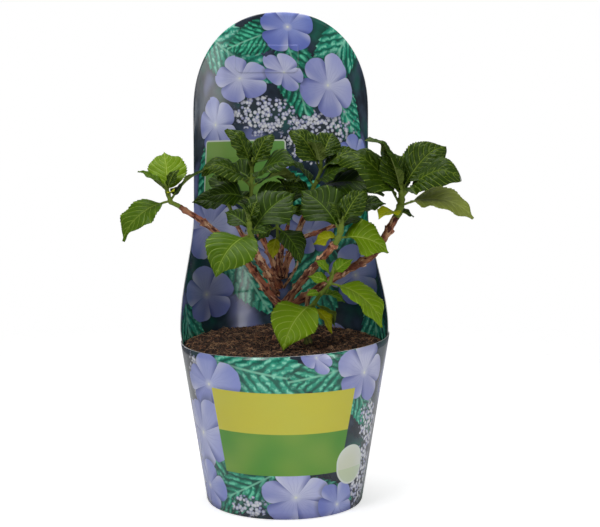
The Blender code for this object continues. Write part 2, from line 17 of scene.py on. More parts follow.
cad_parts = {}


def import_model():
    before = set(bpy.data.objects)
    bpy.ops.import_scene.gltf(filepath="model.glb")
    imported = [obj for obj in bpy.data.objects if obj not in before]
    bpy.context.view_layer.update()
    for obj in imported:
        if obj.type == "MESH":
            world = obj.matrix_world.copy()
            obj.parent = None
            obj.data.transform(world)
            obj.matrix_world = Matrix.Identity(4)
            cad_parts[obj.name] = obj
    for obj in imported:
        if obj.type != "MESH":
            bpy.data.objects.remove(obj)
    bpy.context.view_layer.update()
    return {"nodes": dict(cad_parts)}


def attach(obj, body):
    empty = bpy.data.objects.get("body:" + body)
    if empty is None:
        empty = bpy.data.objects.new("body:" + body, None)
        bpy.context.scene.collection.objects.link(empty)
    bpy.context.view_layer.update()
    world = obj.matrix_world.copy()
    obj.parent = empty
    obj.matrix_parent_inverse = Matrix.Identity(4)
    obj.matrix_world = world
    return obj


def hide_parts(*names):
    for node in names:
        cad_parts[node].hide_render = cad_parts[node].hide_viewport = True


LOG = logging.getLogger("potted_shrub")

MM = 0.001
GAP = 0.3 * MM
BODY = "root"

Array = np.ndarray
Colour = tuple[float, float, float]
Socket = bpy.types.NodeSocket
Node = bpy.types.Node


# Numbers and colours

def hue(red: int, green: int, blue: int) -> Colour:
    """Linear light of a colour given as screen numbers.

    Args:
        red: Red from 0 to 255.
        green: Green from 0 to 255.
        blue: Blue from 0 to 255.

    Returns:
        The colour in linear light.
    """
    shares = (number / 255.0 for number in (red, green, blue))
    return tuple(s / 12.92 if s <= 0.04045 else ((s + 0.055) / 1.055) ** 2.4 for s in shares)


def mixed(first: float | Array, second: float | Array, share: float | Array) -> float | Array:
    """The value a share of the way from the first to the second."""
    return first + (second - first) * share


def smooth_share(value: float | Array, low: float, high: float) -> float | Array:
    """A smooth step from 0 at low to 1 at high."""
    share = np.clip((value - low) / (high - low), 0.0, 1.0)
    return share * share * (3.0 - 2.0 * share)


def unit(vectors: Array) -> Array:
    """Each vector at length one."""
    return vectors / np.maximum(np.linalg.norm(vectors, axis=-1, keepdims=True), 1e-12)


# Meshes

def mesh_of(name: str, points: Array, faces: Sequence[Array]) -> bpy.types.Mesh:
    """A mesh from arrays.

    Args:
        name: The mesh's name.
        points: One row for each vertex.
        faces: Arrays of vertex numbers, one row for each face, with one face size in each array.

    Returns:
        The mesh, with its faces in the order given.
    """
    mesh = bpy.data.meshes.new(name)
    faces = [rows for rows in faces if len(rows)]
    counts = np.concatenate([np.full(len(rows), rows.shape[1]) for rows in faces])
    loops = np.concatenate([rows.ravel() for rows in faces])
    starts = np.concatenate([[0], np.cumsum(counts)[:-1]])
    mesh.vertices.add(len(points))
    mesh.vertices.foreach_set("co", np.asarray(points, np.float32).ravel())
    mesh.loops.add(len(loops))
    mesh.loops.foreach_set("vertex_index", loops.astype(np.int32))
    mesh.polygons.add(len(counts))
    mesh.polygons.foreach_set("loop_start", starts.astype(np.int32))
    mesh.update(calc_edges=True)
    mesh.validate()
    return mesh


def add_piece(name: str, mesh: bpy.types.Mesh, materials: Sequence[bpy.types.Material] = ()) -> bpy.types.Object:
    """An object for a mesh, in the scene.

    Args:
        name: The object's name.
        mesh: Its mesh, in place.
        materials: The mesh's materials in order, or none to leave them.

    Returns:
        The new object.
    """
    made = bpy.data.objects.new(name, mesh)
    bpy.context.scene.collection.objects.link(made)
    for material in materials:
        mesh.materials.append(material)
    return made


def applied(item: bpy.types.Object) -> bpy.types.Mesh:
    """Gives an object the plain mesh that its modifiers make, and takes the modifiers off."""
    graph = bpy.context.evaluated_depsgraph_get()
    made = bpy.data.meshes.new_from_object(item.evaluated_get(graph))
    item.modifiers.clear()
    old = item.data
    item.data = made
    bpy.data.meshes.remove(old)
    return made


def hand_over(item: bpy.types.Object, slot: str, *nodes: str) -> None:
    """Rides a finished piece on the body and hides the nodes that it stands for.

    Args:
        item: The finished piece.
        slot: The record's material slot. Not used.
        nodes: CAD nodes that the piece replaces.
    """
    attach(item, BODY)
    if nodes:
        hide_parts(*nodes)
    LOG.info("%s: %d faces", item.name, len(item.data.polygons))


def grid_faces(rows: int, columns: int, first: int = 0, closed: bool = False) -> Array:
    """Quads of a grid whose vertices run along each row in turn.

    Args:
        rows: The number of rows of vertices.
        columns: The number of vertices in a row.
        first: The number of the first vertex.
        closed: Whether each row joins up with its own start.

    Returns:
        One row of four vertex numbers for each quad.
    """
    row = np.arange(rows - 1)[:, None]
    column = np.arange(columns if closed else columns - 1)[None, :]
    after = (column + 1) % columns
    corners = (row * columns + column, row * columns + after,
               (row + 1) * columns + after, (row + 1) * columns + column)
    return np.stack([np.broadcast_to(c, (rows - 1, column.size)) for c in corners], -1).reshape(-1, 4) + first


class MeshHeap:
    """Gathers many small shapes into one mesh, with a material number for every face."""

    def __init__(self) -> None:
        """Starts empty."""
        self.points: list[Array] = []
        self.quads: list[Array] = []
        self.marks: list[Array] = []
        self.count = 0

    def add(self, points: Array, quads: Array, marks: Array | int = 0) -> None:
        """Adds one shape.

        Args:
            points: Its vertices.
            quads: Its faces, numbered from its own first vertex.
            marks: The material number of every face, or one for all.
        """
        self.points.append(points)
        self.quads.append(quads + self.count)
        self.marks.append(np.broadcast_to(np.asarray(marks), (len(quads),)))
        self.count += len(points)

    def mesh(self, name: str) -> bpy.types.Mesh:
        """The shapes gathered so far, as one smooth-shaded mesh."""
        made = mesh_of(name, np.concatenate(self.points), [np.concatenate(self.quads)])
        made.polygons.foreach_set("material_index", np.concatenate(self.marks).astype(np.int32))
        made.shade_smooth()
        return made


def frames_along(path: Array) -> tuple[Array, Array, Array]:
    """Directions along a path that turn with it without spinning.

    Args:
        path: The path's points in order.

    Returns:
        At each point, the direction ahead and two directions square to it.
    """
    ahead = unit(np.gradient(path, axis=0))
    start = np.array([1.0, 0.0, 0.0]) if abs(ahead[0][0]) < 0.8 else np.array([0.0, 1.0, 0.0])
    sides = [unit(start - ahead[0] * (start @ ahead[0]))]
    for k in range(1, len(path)):
        side = sides[-1] - ahead[k] * (sides[-1] @ ahead[k])
        sides.append(unit(side))
    side = np.array(sides)
    return ahead, side, np.cross(ahead, side)


def tube(path: Array, radii: Array, sides: int) -> tuple[Array, Array]:
    """A closed tube along a path, with a point at each end.

    Args:
        path: The points of its middle line.
        radii: Its radius at each point.
        sides: The number of its sides.

    Returns:
        Its vertices and its quads.
    """
    _, side, up = frames_along(path)
    turn = 2.0 * np.pi * np.arange(sides) / sides
    ring = side[:, None] * np.cos(turn)[None, :, None] + up[:, None] * np.sin(turn)[None, :, None]
    body = path[:, None] + ring * np.asarray(radii)[:, None, None]
    first = np.repeat(path[:1], sides, axis=0)[None]
    last = np.repeat(path[-1:], sides, axis=0)[None]
    rows = np.concatenate([mixed(first, body[:1], 0.12), body, mixed(last, body[-1:], 0.12)])
    return rows.reshape(-1, 3), grid_faces(len(rows), sides, closed=True)


def smooth_path(points: Sequence[Sequence[float]], step: float) -> Array:
    """Points about one step apart on a smooth curve through the given ones, as the solids' limbs follow.

    Args:
        points: The path's given points, in metres.
        step: The distance between the curve's points.

    Returns:
        The curve's points.
    """
    given = [np.asarray(point, float) for point in points]
    ends = [given[0] * 2 - given[1], *given, given[-1] * 2 - given[-2]]
    path = [given[0]]
    for k in range(1, len(ends) - 2):
        before, start, stop, after = ends[k - 1:k + 3]
        count = max(1, round(float(np.linalg.norm(stop - start)) / step))
        for turn in range(1, count + 1):
            t = turn / count
            path.append(0.5 * (
                2 * start + (stop - before) * t
                + (2 * before - 5 * start + 4 * stop - after) * t ** 2
                + (3 * start - before - 3 * stop + after) * t ** 3
            ))
    return np.array(path)


def run_lengths(path: Array) -> Array:
    """How far along a path each of its points lies."""
    return np.concatenate([[0.0], np.cumsum(np.linalg.norm(np.diff(path, axis=0), axis=1))])


# Shader writing

class Graph:
    """Writes nodes into one tree. Each call gives back the socket that holds its result."""

    def __init__(self, tree: bpy.types.NodeTree) -> None:
        """Starts on a tree."""
        self.tree = tree

    def put(self, socket: Socket, value: object) -> None:
        """Links a socket to a value that is a socket, or sets it."""
        if isinstance(value, bpy.types.NodeSocket):
            self.tree.links.new(value, socket)
        elif isinstance(value, tuple) and len(value) == 3 and socket.type == "RGBA":
            socket.default_value = (*value, 1.0)
        else:
            socket.default_value = value

    def node(self, kind: str, inputs: dict[str | int, object] | None = None, **settings: object) -> Node:
        """A new node.

        Args:
            kind: The node's type.
            inputs: Values or sockets for its inputs, by name or number.
            settings: Its properties.

        Returns:
            The node.
        """
        made = self.tree.nodes.new(kind)
        for name, value in settings.items():
            setattr(made, name, value)
        for name, value in (inputs or {}).items():
            self.put(made.inputs[name], value)
        return made

    def math(self, operation: str, *values: object) -> Socket:
        """One sum on numbers."""
        return self.node("ShaderNodeMath", dict(enumerate(values)), operation=operation).outputs[0]

    def vector(self, operation: str, *values: object) -> Socket:
        """One sum on vectors."""
        made = self.node("ShaderNodeVectorMath", dict(enumerate(values)), operation=operation)
        return made.outputs["Value" if operation in ("LENGTH", "DISTANCE", "DOT_PRODUCT") else "Vector"]

    def blend(self, factor: object, first: object, second: object, mode: str = "MIX") -> Socket:
        """A colour between two, by a factor."""
        made = self.node("ShaderNodeMix", {0: factor, 6: first, 7: second}, data_type="RGBA", blend_type=mode)
        return made.outputs[2]

    def between(self, factor: object, first: object, second: object) -> Socket:
        """A number between two, by a factor."""
        return self.node("ShaderNodeMix", {0: factor, 2: first, 3: second}).outputs[0]

    def ease(self, value: object, low: object, high: object, start: float = 0.0, stop: float = 1.0) -> Socket:
        """A smooth step from start at low to stop at high."""
        made = self.node("ShaderNodeMapRange", {0: value, 1: low, 2: high, 3: start, 4: stop},
                         interpolation_type="SMOOTHSTEP", clamp=False)
        return made.outputs[0]

    def noise(self, place: object, scale: float, detail: float = 3.0, rough: float = 0.55) -> Socket:
        """Cloudy noise around one half."""
        made = self.node("ShaderNodeTexNoise", {"Vector": place, "Scale": scale, "Detail": detail,
                                                "Roughness": rough})
        return made.outputs[0]

    def cells(self, place: object, scale: float, feature: str = "F1") -> Node:
        """Scattered cells."""
        return self.node("ShaderNodeTexVoronoi", {"Vector": place, "Scale": scale}, feature=feature)

    def split(self, place: object) -> tuple[Socket, Socket, Socket]:
        """A vector's three numbers."""
        made = self.node("ShaderNodeSeparateXYZ", {0: place})
        return made.outputs[0], made.outputs[1], made.outputs[2]

    def join(self, x: object = 0.0, y: object = 0.0, z: object = 0.0) -> Socket:
        """A vector of three numbers."""
        return self.node("ShaderNodeCombineXYZ", {0: x, 1: y, 2: z}).outputs[0]

    def group(self, tree: bpy.types.NodeTree, inputs: dict[str | int, object]) -> Node:
        """A node that stands for a group."""
        made = self.tree.nodes.new("ShaderNodeGroup")
        made.node_tree = tree
        for name, value in inputs.items():
            self.put(made.inputs[name], value)
        return made


def new_group(name: str, inputs: dict[str, str], outputs: dict[str, str]) -> tuple[Graph, Node, Node]:
    """An empty shader group.

    Args:
        name: The group's name.
        inputs: The type of each input: Float, Vector or Color.
        outputs: The type of each output.

    Returns:
        Its graph, the node of its inputs and the node of its outputs.
    """
    tree = bpy.data.node_groups.new(name, "ShaderNodeTree")
    for side, sockets in (("INPUT", inputs), ("OUTPUT", outputs)):
        for label, kind in sockets.items():
            tree.interface.new_socket(label, in_out=side, socket_type="NodeSocket" + kind)
    return Graph(tree), tree.nodes.new("NodeGroupInput"), tree.nodes.new("NodeGroupOutput")


class Effects:
    """The shader groups that the finishes share."""

    def __init__(self) -> None:
        """Builds every group once."""
        self.grain = self.build_grain()
        self.motif_place = self.build_motif_place()
        self.bloom = self.build_bloom()
        self.toothed_leaf = self.build_toothed_leaf()
        self.florets = self.build_florets()
        self.panel = self.build_panel()

    def build_grain(self) -> bpy.types.NodeTree:
        """Fine grain over broad mottling, as a height and a mask.

        Returns:
            The group.
        """
        g, given, out = new_group("grain", {"Place": "Vector", "Fine": "Float", "Broad": "Float"},
                                  {"Height": "Float", "Mottle": "Float"})
        fine = g.node("ShaderNodeTexNoise", {"Vector": given.outputs["Place"], "Scale": given.outputs["Fine"],
                                             "Detail": 4.0, "Roughness": 0.6})
        broad = g.node("ShaderNodeTexNoise", {"Vector": given.outputs["Place"], "Scale": given.outputs["Broad"],
                                              "Detail": 2.0})
        g.put(out.inputs["Height"], g.between(0.3, fine.outputs[0], broad.outputs[0]))
        g.put(out.inputs["Mottle"], g.ease(broad.outputs[0], 0.35, 0.65))
        return g.tree

    def build_motif_place(self) -> bpy.types.NodeTree:
        """Turns a place on the print into one motif's own: centred, turned, scaled and squeezed.

        Returns:
            The group.
        """
        g, given, out = new_group(
            "motif_place",
            {"Place": "Vector", "Centre": "Vector", "Size": "Float", "Turn": "Float", "Squeeze": "Float"},
            {"Across": "Float", "Up": "Float"})
        offset = g.vector("SUBTRACT", given.outputs["Place"], given.outputs["Centre"])
        turned = g.node("ShaderNodeVectorRotate", {"Vector": offset, "Angle": given.outputs["Turn"]},
                        rotation_type="Z_AXIS")
        across, up, _ = g.split(turned.outputs[0])
        g.put(out.inputs["Across"], g.math("DIVIDE", across, given.outputs["Size"]))
        tall = g.math("MULTIPLY", given.outputs["Size"], given.outputs["Squeeze"])
        g.put(out.inputs["Up"], g.math("DIVIDE", up, tall))
        return g.tree

    def motif_inputs(self, extra: dict[str, str]) -> dict[str, str]:
        """The inputs that every printed motif has, with its own added."""
        shared = {"Place": "Vector", "Under": "Color", "Centre": "Vector", "Size": "Float", "Turn": "Float",
                  "Squeeze": "Float", "Tone": "Float", "Grain": "Float"}
        return {**shared, **extra}

    def own_place(self, g: Graph, given: Node) -> tuple[Socket, Socket]:
        """The two numbers of a place in a motif's own frame."""
        names = ("Place", "Centre", "Size", "Turn", "Squeeze")
        place = g.group(self.motif_place, {name: given.outputs[name] for name in names})
        return place.outputs["Across"], place.outputs["Up"]

    def build_bloom(self) -> bpy.types.NodeTree:
        """A blossom of five broad overlapping petals with fine rays and a pale eye.

        Returns:
            The group.
        """
        g, given, out = new_group("printed_bloom", self.motif_inputs({}), {"Colour": "Color"})
        x, y = self.own_place(g, given)
        grain = given.outputs["Grain"]
        radius = g.math("SQRT", g.math("ADD", g.math("MULTIPLY", x, x), g.math("MULTIPLY", y, y)))
        angle = g.math("MULTIPLY_ADD", g.math("ARCTAN2", y, x), 5.0 / (2.0 * math.pi), 5.0)
        phase = g.math("FRACT", angle)
        petal_key = g.math("ADD", g.math("FLOOR", angle), g.math("MULTIPLY", given.outputs["Size"], 900.0))
        unlike = g.node("ShaderNodeTexWhiteNoise", {"W": petal_key}, noise_dimensions="1D").outputs["Value"]
        round_tip = g.math("POWER", g.math("SINE", g.math("MULTIPLY", phase, math.pi)), 0.4)
        reach = g.math("ADD", g.math("MULTIPLY_ADD", round_tip, 0.3, 0.58), g.math("MULTIPLY", grain, 0.24))
        reach = g.math("MULTIPLY_ADD", unlike, 0.14, reach)
        mask = g.ease(g.math("SUBTRACT", radius, reach), -0.012, 0.012, 1.0, 0.0)
        halo = g.ease(g.math("SUBTRACT", radius, reach), -0.05, 0.24, 0.5, 0.0)
        ground = g.blend(halo, given.outputs["Under"], hue(24, 34, 56))
        rim = g.blend(given.outputs["Tone"], hue(112, 134, 222), hue(196, 200, 246))
        middle = g.blend(given.outputs["Tone"], hue(160, 176, 242), hue(226, 228, 252))
        petal = g.blend(g.ease(radius, 0.1, 0.95), middle, rim)
        lit = g.ease(g.math("MULTIPLY_ADD", unlike, 0.6, g.math("MULTIPLY_ADD", grain, 2.0, y)), -0.6, 1.1)
        petal = g.blend(g.math("MULTIPLY_ADD", lit, -0.6, 0.6), petal, hue(104, 116, 200))
        rays = g.math("SINE", g.math("MULTIPLY_ADD", phase, 2.0 * math.pi * 6.0, g.math("MULTIPLY", grain, 30.0)))
        ray_depth = g.math("MULTIPLY", g.ease(rays, 0.5, 1.0), g.ease(radius, 0.15, 0.8, 0.26, 0.05))
        petal = g.blend(ray_depth, petal, hue(112, 118, 200))
        overlap = g.math("MULTIPLY", g.ease(phase, 0.0, 0.24, 1.0, 0.0), g.ease(radius, 0.1, 0.6, 0.1, 0.7))
        petal = g.blend(overlap, petal, hue(76, 88, 168))
        crest = g.math("MULTIPLY", g.ease(phase, 0.66, 1.0), g.ease(radius, 0.2, 0.8, 0.0, 0.5))
        petal = g.blend(crest, petal, hue(240, 242, 255))
        eye_ring = g.ease(radius, 0.04, 0.2, 0.5, 0.0)
        petal = g.blend(eye_ring, petal, hue(236, 240, 252))
        eye = g.ease(radius, 0.025, 0.055, 0.9, 0.0)
        petal = g.blend(eye, petal, hue(244, 246, 236))
        g.put(out.inputs["Colour"], g.blend(mask, ground, petal))
        return g.tree

    def build_toothed_leaf(self) -> bpy.types.NodeTree:
        """A pointed emerald leaf with small teeth, pale ribs and quilted shading.

        Returns:
            The group.
        """
        g, given, out = new_group("printed_leaf", self.motif_inputs({}), {"Colour": "Color"})
        x, y = self.own_place(g, given)
        grain = given.outputs["Grain"]
        off = g.math("ABSOLUTE", y)
        share = g.math("MINIMUM", g.math("MAXIMUM", g.math("MULTIPLY_ADD", x, 0.5, 0.5), 0.0), 1.0)
        swell = g.math("SINE", g.math("MULTIPLY", g.math("POWER", share, 0.78), math.pi))
        tooth = g.math("MULTIPLY", g.math("FRACT", g.math("MULTIPLY", share, 15.0)), 0.05)
        half = g.math("ADD", g.math("MULTIPLY", g.math("POWER", g.math("MAXIMUM", swell, 0.0), 0.8), 0.52), tooth)
        edge = g.math("SUBTRACT", off, g.math("MULTIPLY", half, g.ease(share, 0.0, 0.04)))
        ends = g.math("MULTIPLY", g.ease(x, -1.0, -0.985), g.ease(x, 0.985, 1.0, 1.0, 0.0))
        mask = g.math("MULTIPLY", g.ease(edge, -0.01, 0.01, 1.0, 0.0), ends)
        slope = g.math("SUBTRACT", g.math("MULTIPLY", x, 4.6), g.math("MULTIPLY", off, 5.0))
        phase = g.math("FRACT", g.math("ADD", g.math("ADD", slope, 20.0), g.math("MULTIPLY", grain, 1.5)))
        pucker = g.math("SINE", g.math("MULTIPLY_ADD", off, 24.0, g.math("MULTIPLY", grain, 22.0)))
        fold = g.math("MULTIPLY", g.ease(phase, 0.02, 0.6), g.ease(phase, 0.72, 1.0, 1.0, 0.1))
        light = g.math("MULTIPLY", fold, g.math("MULTIPLY_ADD", pucker, 0.22, 0.66))
        light = g.math("ADD", light, g.math("MULTIPLY", grain, 1.1))
        deep = g.blend(given.outputs["Tone"], hue(6, 58, 50), hue(20, 128, 106))
        half_lit = g.blend(given.outputs["Tone"], hue(14, 134, 100), hue(66, 206, 174))
        bright = g.blend(given.outputs["Tone"], hue(70, 216, 170), hue(190, 250, 232))
        blade = g.blend(g.ease(light, -0.05, 0.5), deep, half_lit)
        blade = g.blend(g.ease(light, 0.42, 0.95), blade, bright)
        blade = g.blend(g.ease(off, 0.008, 0.035, 0.75, 0.0), blade, hue(150, 226, 196))
        shadow = g.math("MULTIPLY", g.ease(edge, -0.02, 0.16, 0.5, 0.0), ends)
        ground = g.blend(shadow, given.outputs["Under"], hue(14, 22, 24))
        g.put(out.inputs["Colour"], g.blend(mask, ground, blade))
        return g.tree

    def build_florets(self) -> bpy.types.NodeTree:
        """A cluster of small round pale florets.

        Returns:
            The group.
        """
        g, given, out = new_group("printed_florets", self.motif_inputs({"Bead": "Float", "Bead Tone": "Float"}),
                                  {"Colour": "Color"})
        x, y = self.own_place(g, given)
        radius = g.math("SQRT", g.math("ADD", g.math("MULTIPLY", x, x), g.math("MULTIPLY", y, y)))
        ragged = g.math("MULTIPLY_ADD", given.outputs["Grain"], 1.1, radius)
        ragged = g.math("MULTIPLY_ADD", given.outputs["Bead Tone"], 0.3, ragged)
        inside = g.ease(ragged, 1.0, 1.12, 1.0, 0.0)
        bead = g.math("MULTIPLY", g.ease(given.outputs["Bead"], 0.5, 0.62, 1.0, 0.0), inside)
        gap = g.blend(g.math("MULTIPLY", inside, 0.7), given.outputs["Under"], hue(58, 64, 74))
        light = g.ease(given.outputs["Bead"], 0.1, 0.55, 1.0, 0.0)
        tint = g.blend(given.outputs["Bead Tone"], hue(146, 152, 206), hue(232, 234, 240))
        floret = g.blend(g.math("MULTIPLY", light, 0.85), tint, hue(255, 255, 255))
        g.put(out.inputs["Colour"], g.blend(bead, gap, floret))
        return g.tree

    def build_panel(self) -> bpy.types.NodeTree:
        """How far a place is outside a rounded panel whose sides lean, for bare labels.

        Returns:
            The group.
        """
        g, given, out = new_group(
            "label_panel",
            {"Place": "Vector", "Centre": "Vector", "Half Width": "Float", "Half Height": "Float",
             "Lean": "Float", "Corner": "Float"},
            {"Distance": "Float"})
        offset = g.vector("SUBTRACT", given.outputs["Place"], given.outputs["Centre"])
        x, y, _ = g.split(offset)
        half = g.math("MULTIPLY_ADD", y, given.outputs["Lean"], given.outputs["Half Width"])
        corner = given.outputs["Corner"]
        dx = g.math("ADD", g.math("SUBTRACT", g.math("ABSOLUTE", x), half), corner)
        dy = g.math("ADD", g.math("SUBTRACT", g.math("ABSOLUTE", y), given.outputs["Half Height"]), corner)
        outside = g.vector("LENGTH", g.join(g.math("MAXIMUM", dx, 0.0), g.math("MAXIMUM", dy, 0.0)))
        inside = g.math("MINIMUM", g.math("MAXIMUM", dx, dy), 0.0)
        g.put(out.inputs["Distance"], g.math("SUBTRACT", g.math("ADD", outside, inside), corner))
        return g.tree


# Finishes

def new_material(name: str, roughness: float) -> tuple[bpy.types.Material, Graph, Node]:
    """An opaque material to write on.

    Args:
        name: The material's name.
        roughness: The shader's roughness.

    Returns:
        The material, its graph and its shader.
    """
    made = bpy.data.materials.new(name)
    made.use_nodes = True
    shader = made.node_tree.nodes["Principled BSDF"]
    shader.inputs["Roughness"].default_value = roughness
    return made, Graph(made.node_tree), shader


def bump(g: Graph, shader: Node, height: Socket, depth: float, strength: float = 1.0) -> None:
    """Raises a height on a shader's surface.

    Args:
        g: The material's graph.
        shader: The shader whose normal is turned.
        height: A height around zero to one.
        depth: The distance that a height of one stands for, in metres.
        strength: The effect's strength.
    """
    made = g.node("ShaderNodeBump", {"Height": height, "Distance": depth, "Strength": strength})
    g.put(shader.inputs["Normal"], made.outputs[0])


def object_place(g: Graph) -> Socket:
    """The place on the object, in metres."""
    return g.node("ShaderNodeTexCoord").outputs["Object"]


@dataclass(frozen=True)
class PlasticFinish:
    """Moulded pot plastic with a fine satin grain."""

    name: str
    colour: Colour
    roughness: float

    def material(self, effects: Effects) -> bpy.types.Material:
        """The finish as a material.

        Args:
            effects: The shared shader groups.

        Returns:
            The material.
        """
        made, g, shader = new_material(self.name, self.roughness)
        grain = g.group(effects.grain, {"Place": object_place(g), "Fine": 900.0, "Broad": 30.0})
        tint = g.blend(g.math("MULTIPLY", grain.outputs["Mottle"], 0.5), self.colour, hue(34, 33, 34))
        g.put(shader.inputs["Base Color"], tint)
        g.put(shader.inputs["Roughness"],
              g.ease(grain.outputs["Mottle"], 0.0, 1.0, self.roughness, self.roughness + 0.12))
        bump(g, shader, grain.outputs["Height"], 0.2 * MM)
        return made


@dataclass(frozen=True)
class PeatFinish:
    """Moist crumbly peat, dark brown with redder crumbs."""

    name: str
    dark: Colour
    light: Colour
    crumb: Colour

    def material(self, effects: Effects) -> bpy.types.Material:
        """The finish as a material.

        Args:
            effects: The shared shader groups.

        Returns:
            The material.
        """
        made, g, shader = new_material(self.name, 0.9)
        grain = g.group(effects.grain, {"Place": object_place(g), "Fine": 700.0, "Broad": 160.0})
        cells = g.cells(object_place(g), 330.0)
        red, green, _ = g.split(cells.outputs["Color"])
        shade = g.blend(grain.outputs["Mottle"], self.dark, self.light)
        shade = g.blend(g.ease(red, 0.35, 0.75, 0.75, 0.0), shade, self.dark)
        shade = g.blend(g.ease(green, 0.8, 0.95, 0.0, 0.8), shade, self.crumb)
        g.put(shader.inputs["Base Color"], shade)
        bump(g, shader, grain.outputs["Height"], 1.2 * MM)
        return made


@dataclass(frozen=True)
class FibreFinish:
    """Dry plant fibre, from dark brown to tan."""

    name: str
    dark: Colour
    light: Colour

    def material(self, effects: Effects) -> bpy.types.Material:
        """The finish as a material.

        Args:
            effects: The shared shader groups.

        Returns:
            The material.
        """
        made, g, shader = new_material(self.name, 0.75)
        grain = g.group(effects.grain, {"Place": object_place(g), "Fine": 1200.0, "Broad": 150.0})
        patch = g.split(g.cells(object_place(g), 130.0).outputs["Color"])[0]
        g.put(shader.inputs["Base Color"], g.blend(g.ease(patch, 0.2, 0.95), self.dark, self.light))
        bump(g, shader, grain.outputs["Height"], 0.3 * MM)
        return made


@dataclass(frozen=True)
class BarkFinish:
    """Ridged bark whose colours follow the limb: furrow, ridge, and pale flakes where it peels."""

    name: str
    furrow: Colour
    ridge: Colour
    worn: Colour
    flake: Colour
    flaked: float

    def material(self, effects: Effects) -> bpy.types.Material:
        """The finish as a material.

        Args:
            effects: The shared shader groups.

        Returns:
            The material.
        """
        made, g, shader = new_material(self.name, 0.72)
        place = g.node("ShaderNodeAttribute", attribute_name="bark_place").outputs["Vector"]
        relief = g.node("ShaderNodeAttribute", attribute_name="relief").outputs["Fac"]
        fibres = g.noise(place, 1.6, detail=4.0, rough=0.65)
        broad = g.noise(place, 0.34, detail=2.0)
        patch = g.noise(object_place(g), 75.0, detail=2.0)
        furrowed = g.math("MULTIPLY_ADD", g.math("SUBTRACT", fibres, 0.5), 1.2, relief)
        ridge = g.math("MULTIPLY", g.ease(furrowed, 0.0, 0.5), g.ease(patch, 0.3, 0.58, 0.35, 1.0))
        tone = g.blend(g.ease(broad, 0.4, 0.6), self.ridge, self.worn)
        shade = g.blend(ridge, self.furrow, tone)
        chip = g.noise(place, 0.5, detail=3.0, rough=0.7)
        peel = g.math("MULTIPLY", g.ease(chip, 1.0 - self.flaked, 1.08 - self.flaked), g.ease(ridge, 0.3, 0.7))
        shade = g.blend(peel, shade, self.flake)
        g.put(shader.inputs["Base Color"], shade)
        grain = g.group(effects.grain, {"Place": object_place(g), "Fine": 1500.0, "Broad": 300.0})
        height = g.math("ADD", g.math("MULTIPLY", fibres, 0.8), g.math("MULTIPLY", grain.outputs["Height"], 0.3))
        bump(g, shader, height, 0.5 * MM)
        g.put(shader.inputs["Roughness"], g.ease(ridge, 0.0, 1.0, 0.85, 0.6))
        return made


@dataclass(frozen=True)
class BladeFinish:
    """One plain leaf colour, with a fine cell grain in its gloss and relief."""

    name: str
    colour: Colour
    roughness: float
    gloss: float = 0.16
    cell: float = 900.0
    depth: float = 0.05

    def material(self, effects: Effects) -> bpy.types.Material:
        """The finish as a material.

        Args:
            effects: The shared shader groups.

        Returns:
            The material.
        """
        made, g, shader = new_material(self.name, self.roughness)
        shader.inputs["Base Color"].default_value = (*self.colour, 1.0)
        shader.inputs["Specular IOR Level"].default_value = self.gloss
        made.diffuse_color = (*self.colour, 1.0)
        grain = g.group(effects.grain, {"Place": object_place(g), "Fine": self.cell, "Broad": self.cell / 4.0})
        g.put(shader.inputs["Roughness"],
              g.ease(grain.outputs["Height"], 0.35, 0.65, self.roughness - 0.06, self.roughness + 0.1))
        bump(g, shader, grain.outputs["Height"], self.depth * MM * 8.0)
        return made


class Motif(Enum):
    """What a spot of the print shows."""

    BLOOM = "bloom"
    LEAF = "toothed_leaf"
    FLORETS = "florets"


@dataclass(frozen=True)
class Spot:
    """One motif on a panel: its kind, centre and size in millimetres, turn in degrees, squeeze and tone."""

    motif: Motif
    across: float
    up: float
    size: float
    turn: float
    squeeze: float
    tone: float


@dataclass(frozen=True)
class Label:
    """A bare printed label: centre, half sizes, corner and outline in millimetres, lean of its sides."""

    across: float
    up: float
    half_width: float
    half_height: float
    corner: float
    lean: float
    outline: float
    lower: Colour
    upper: Colour
    boundary: float


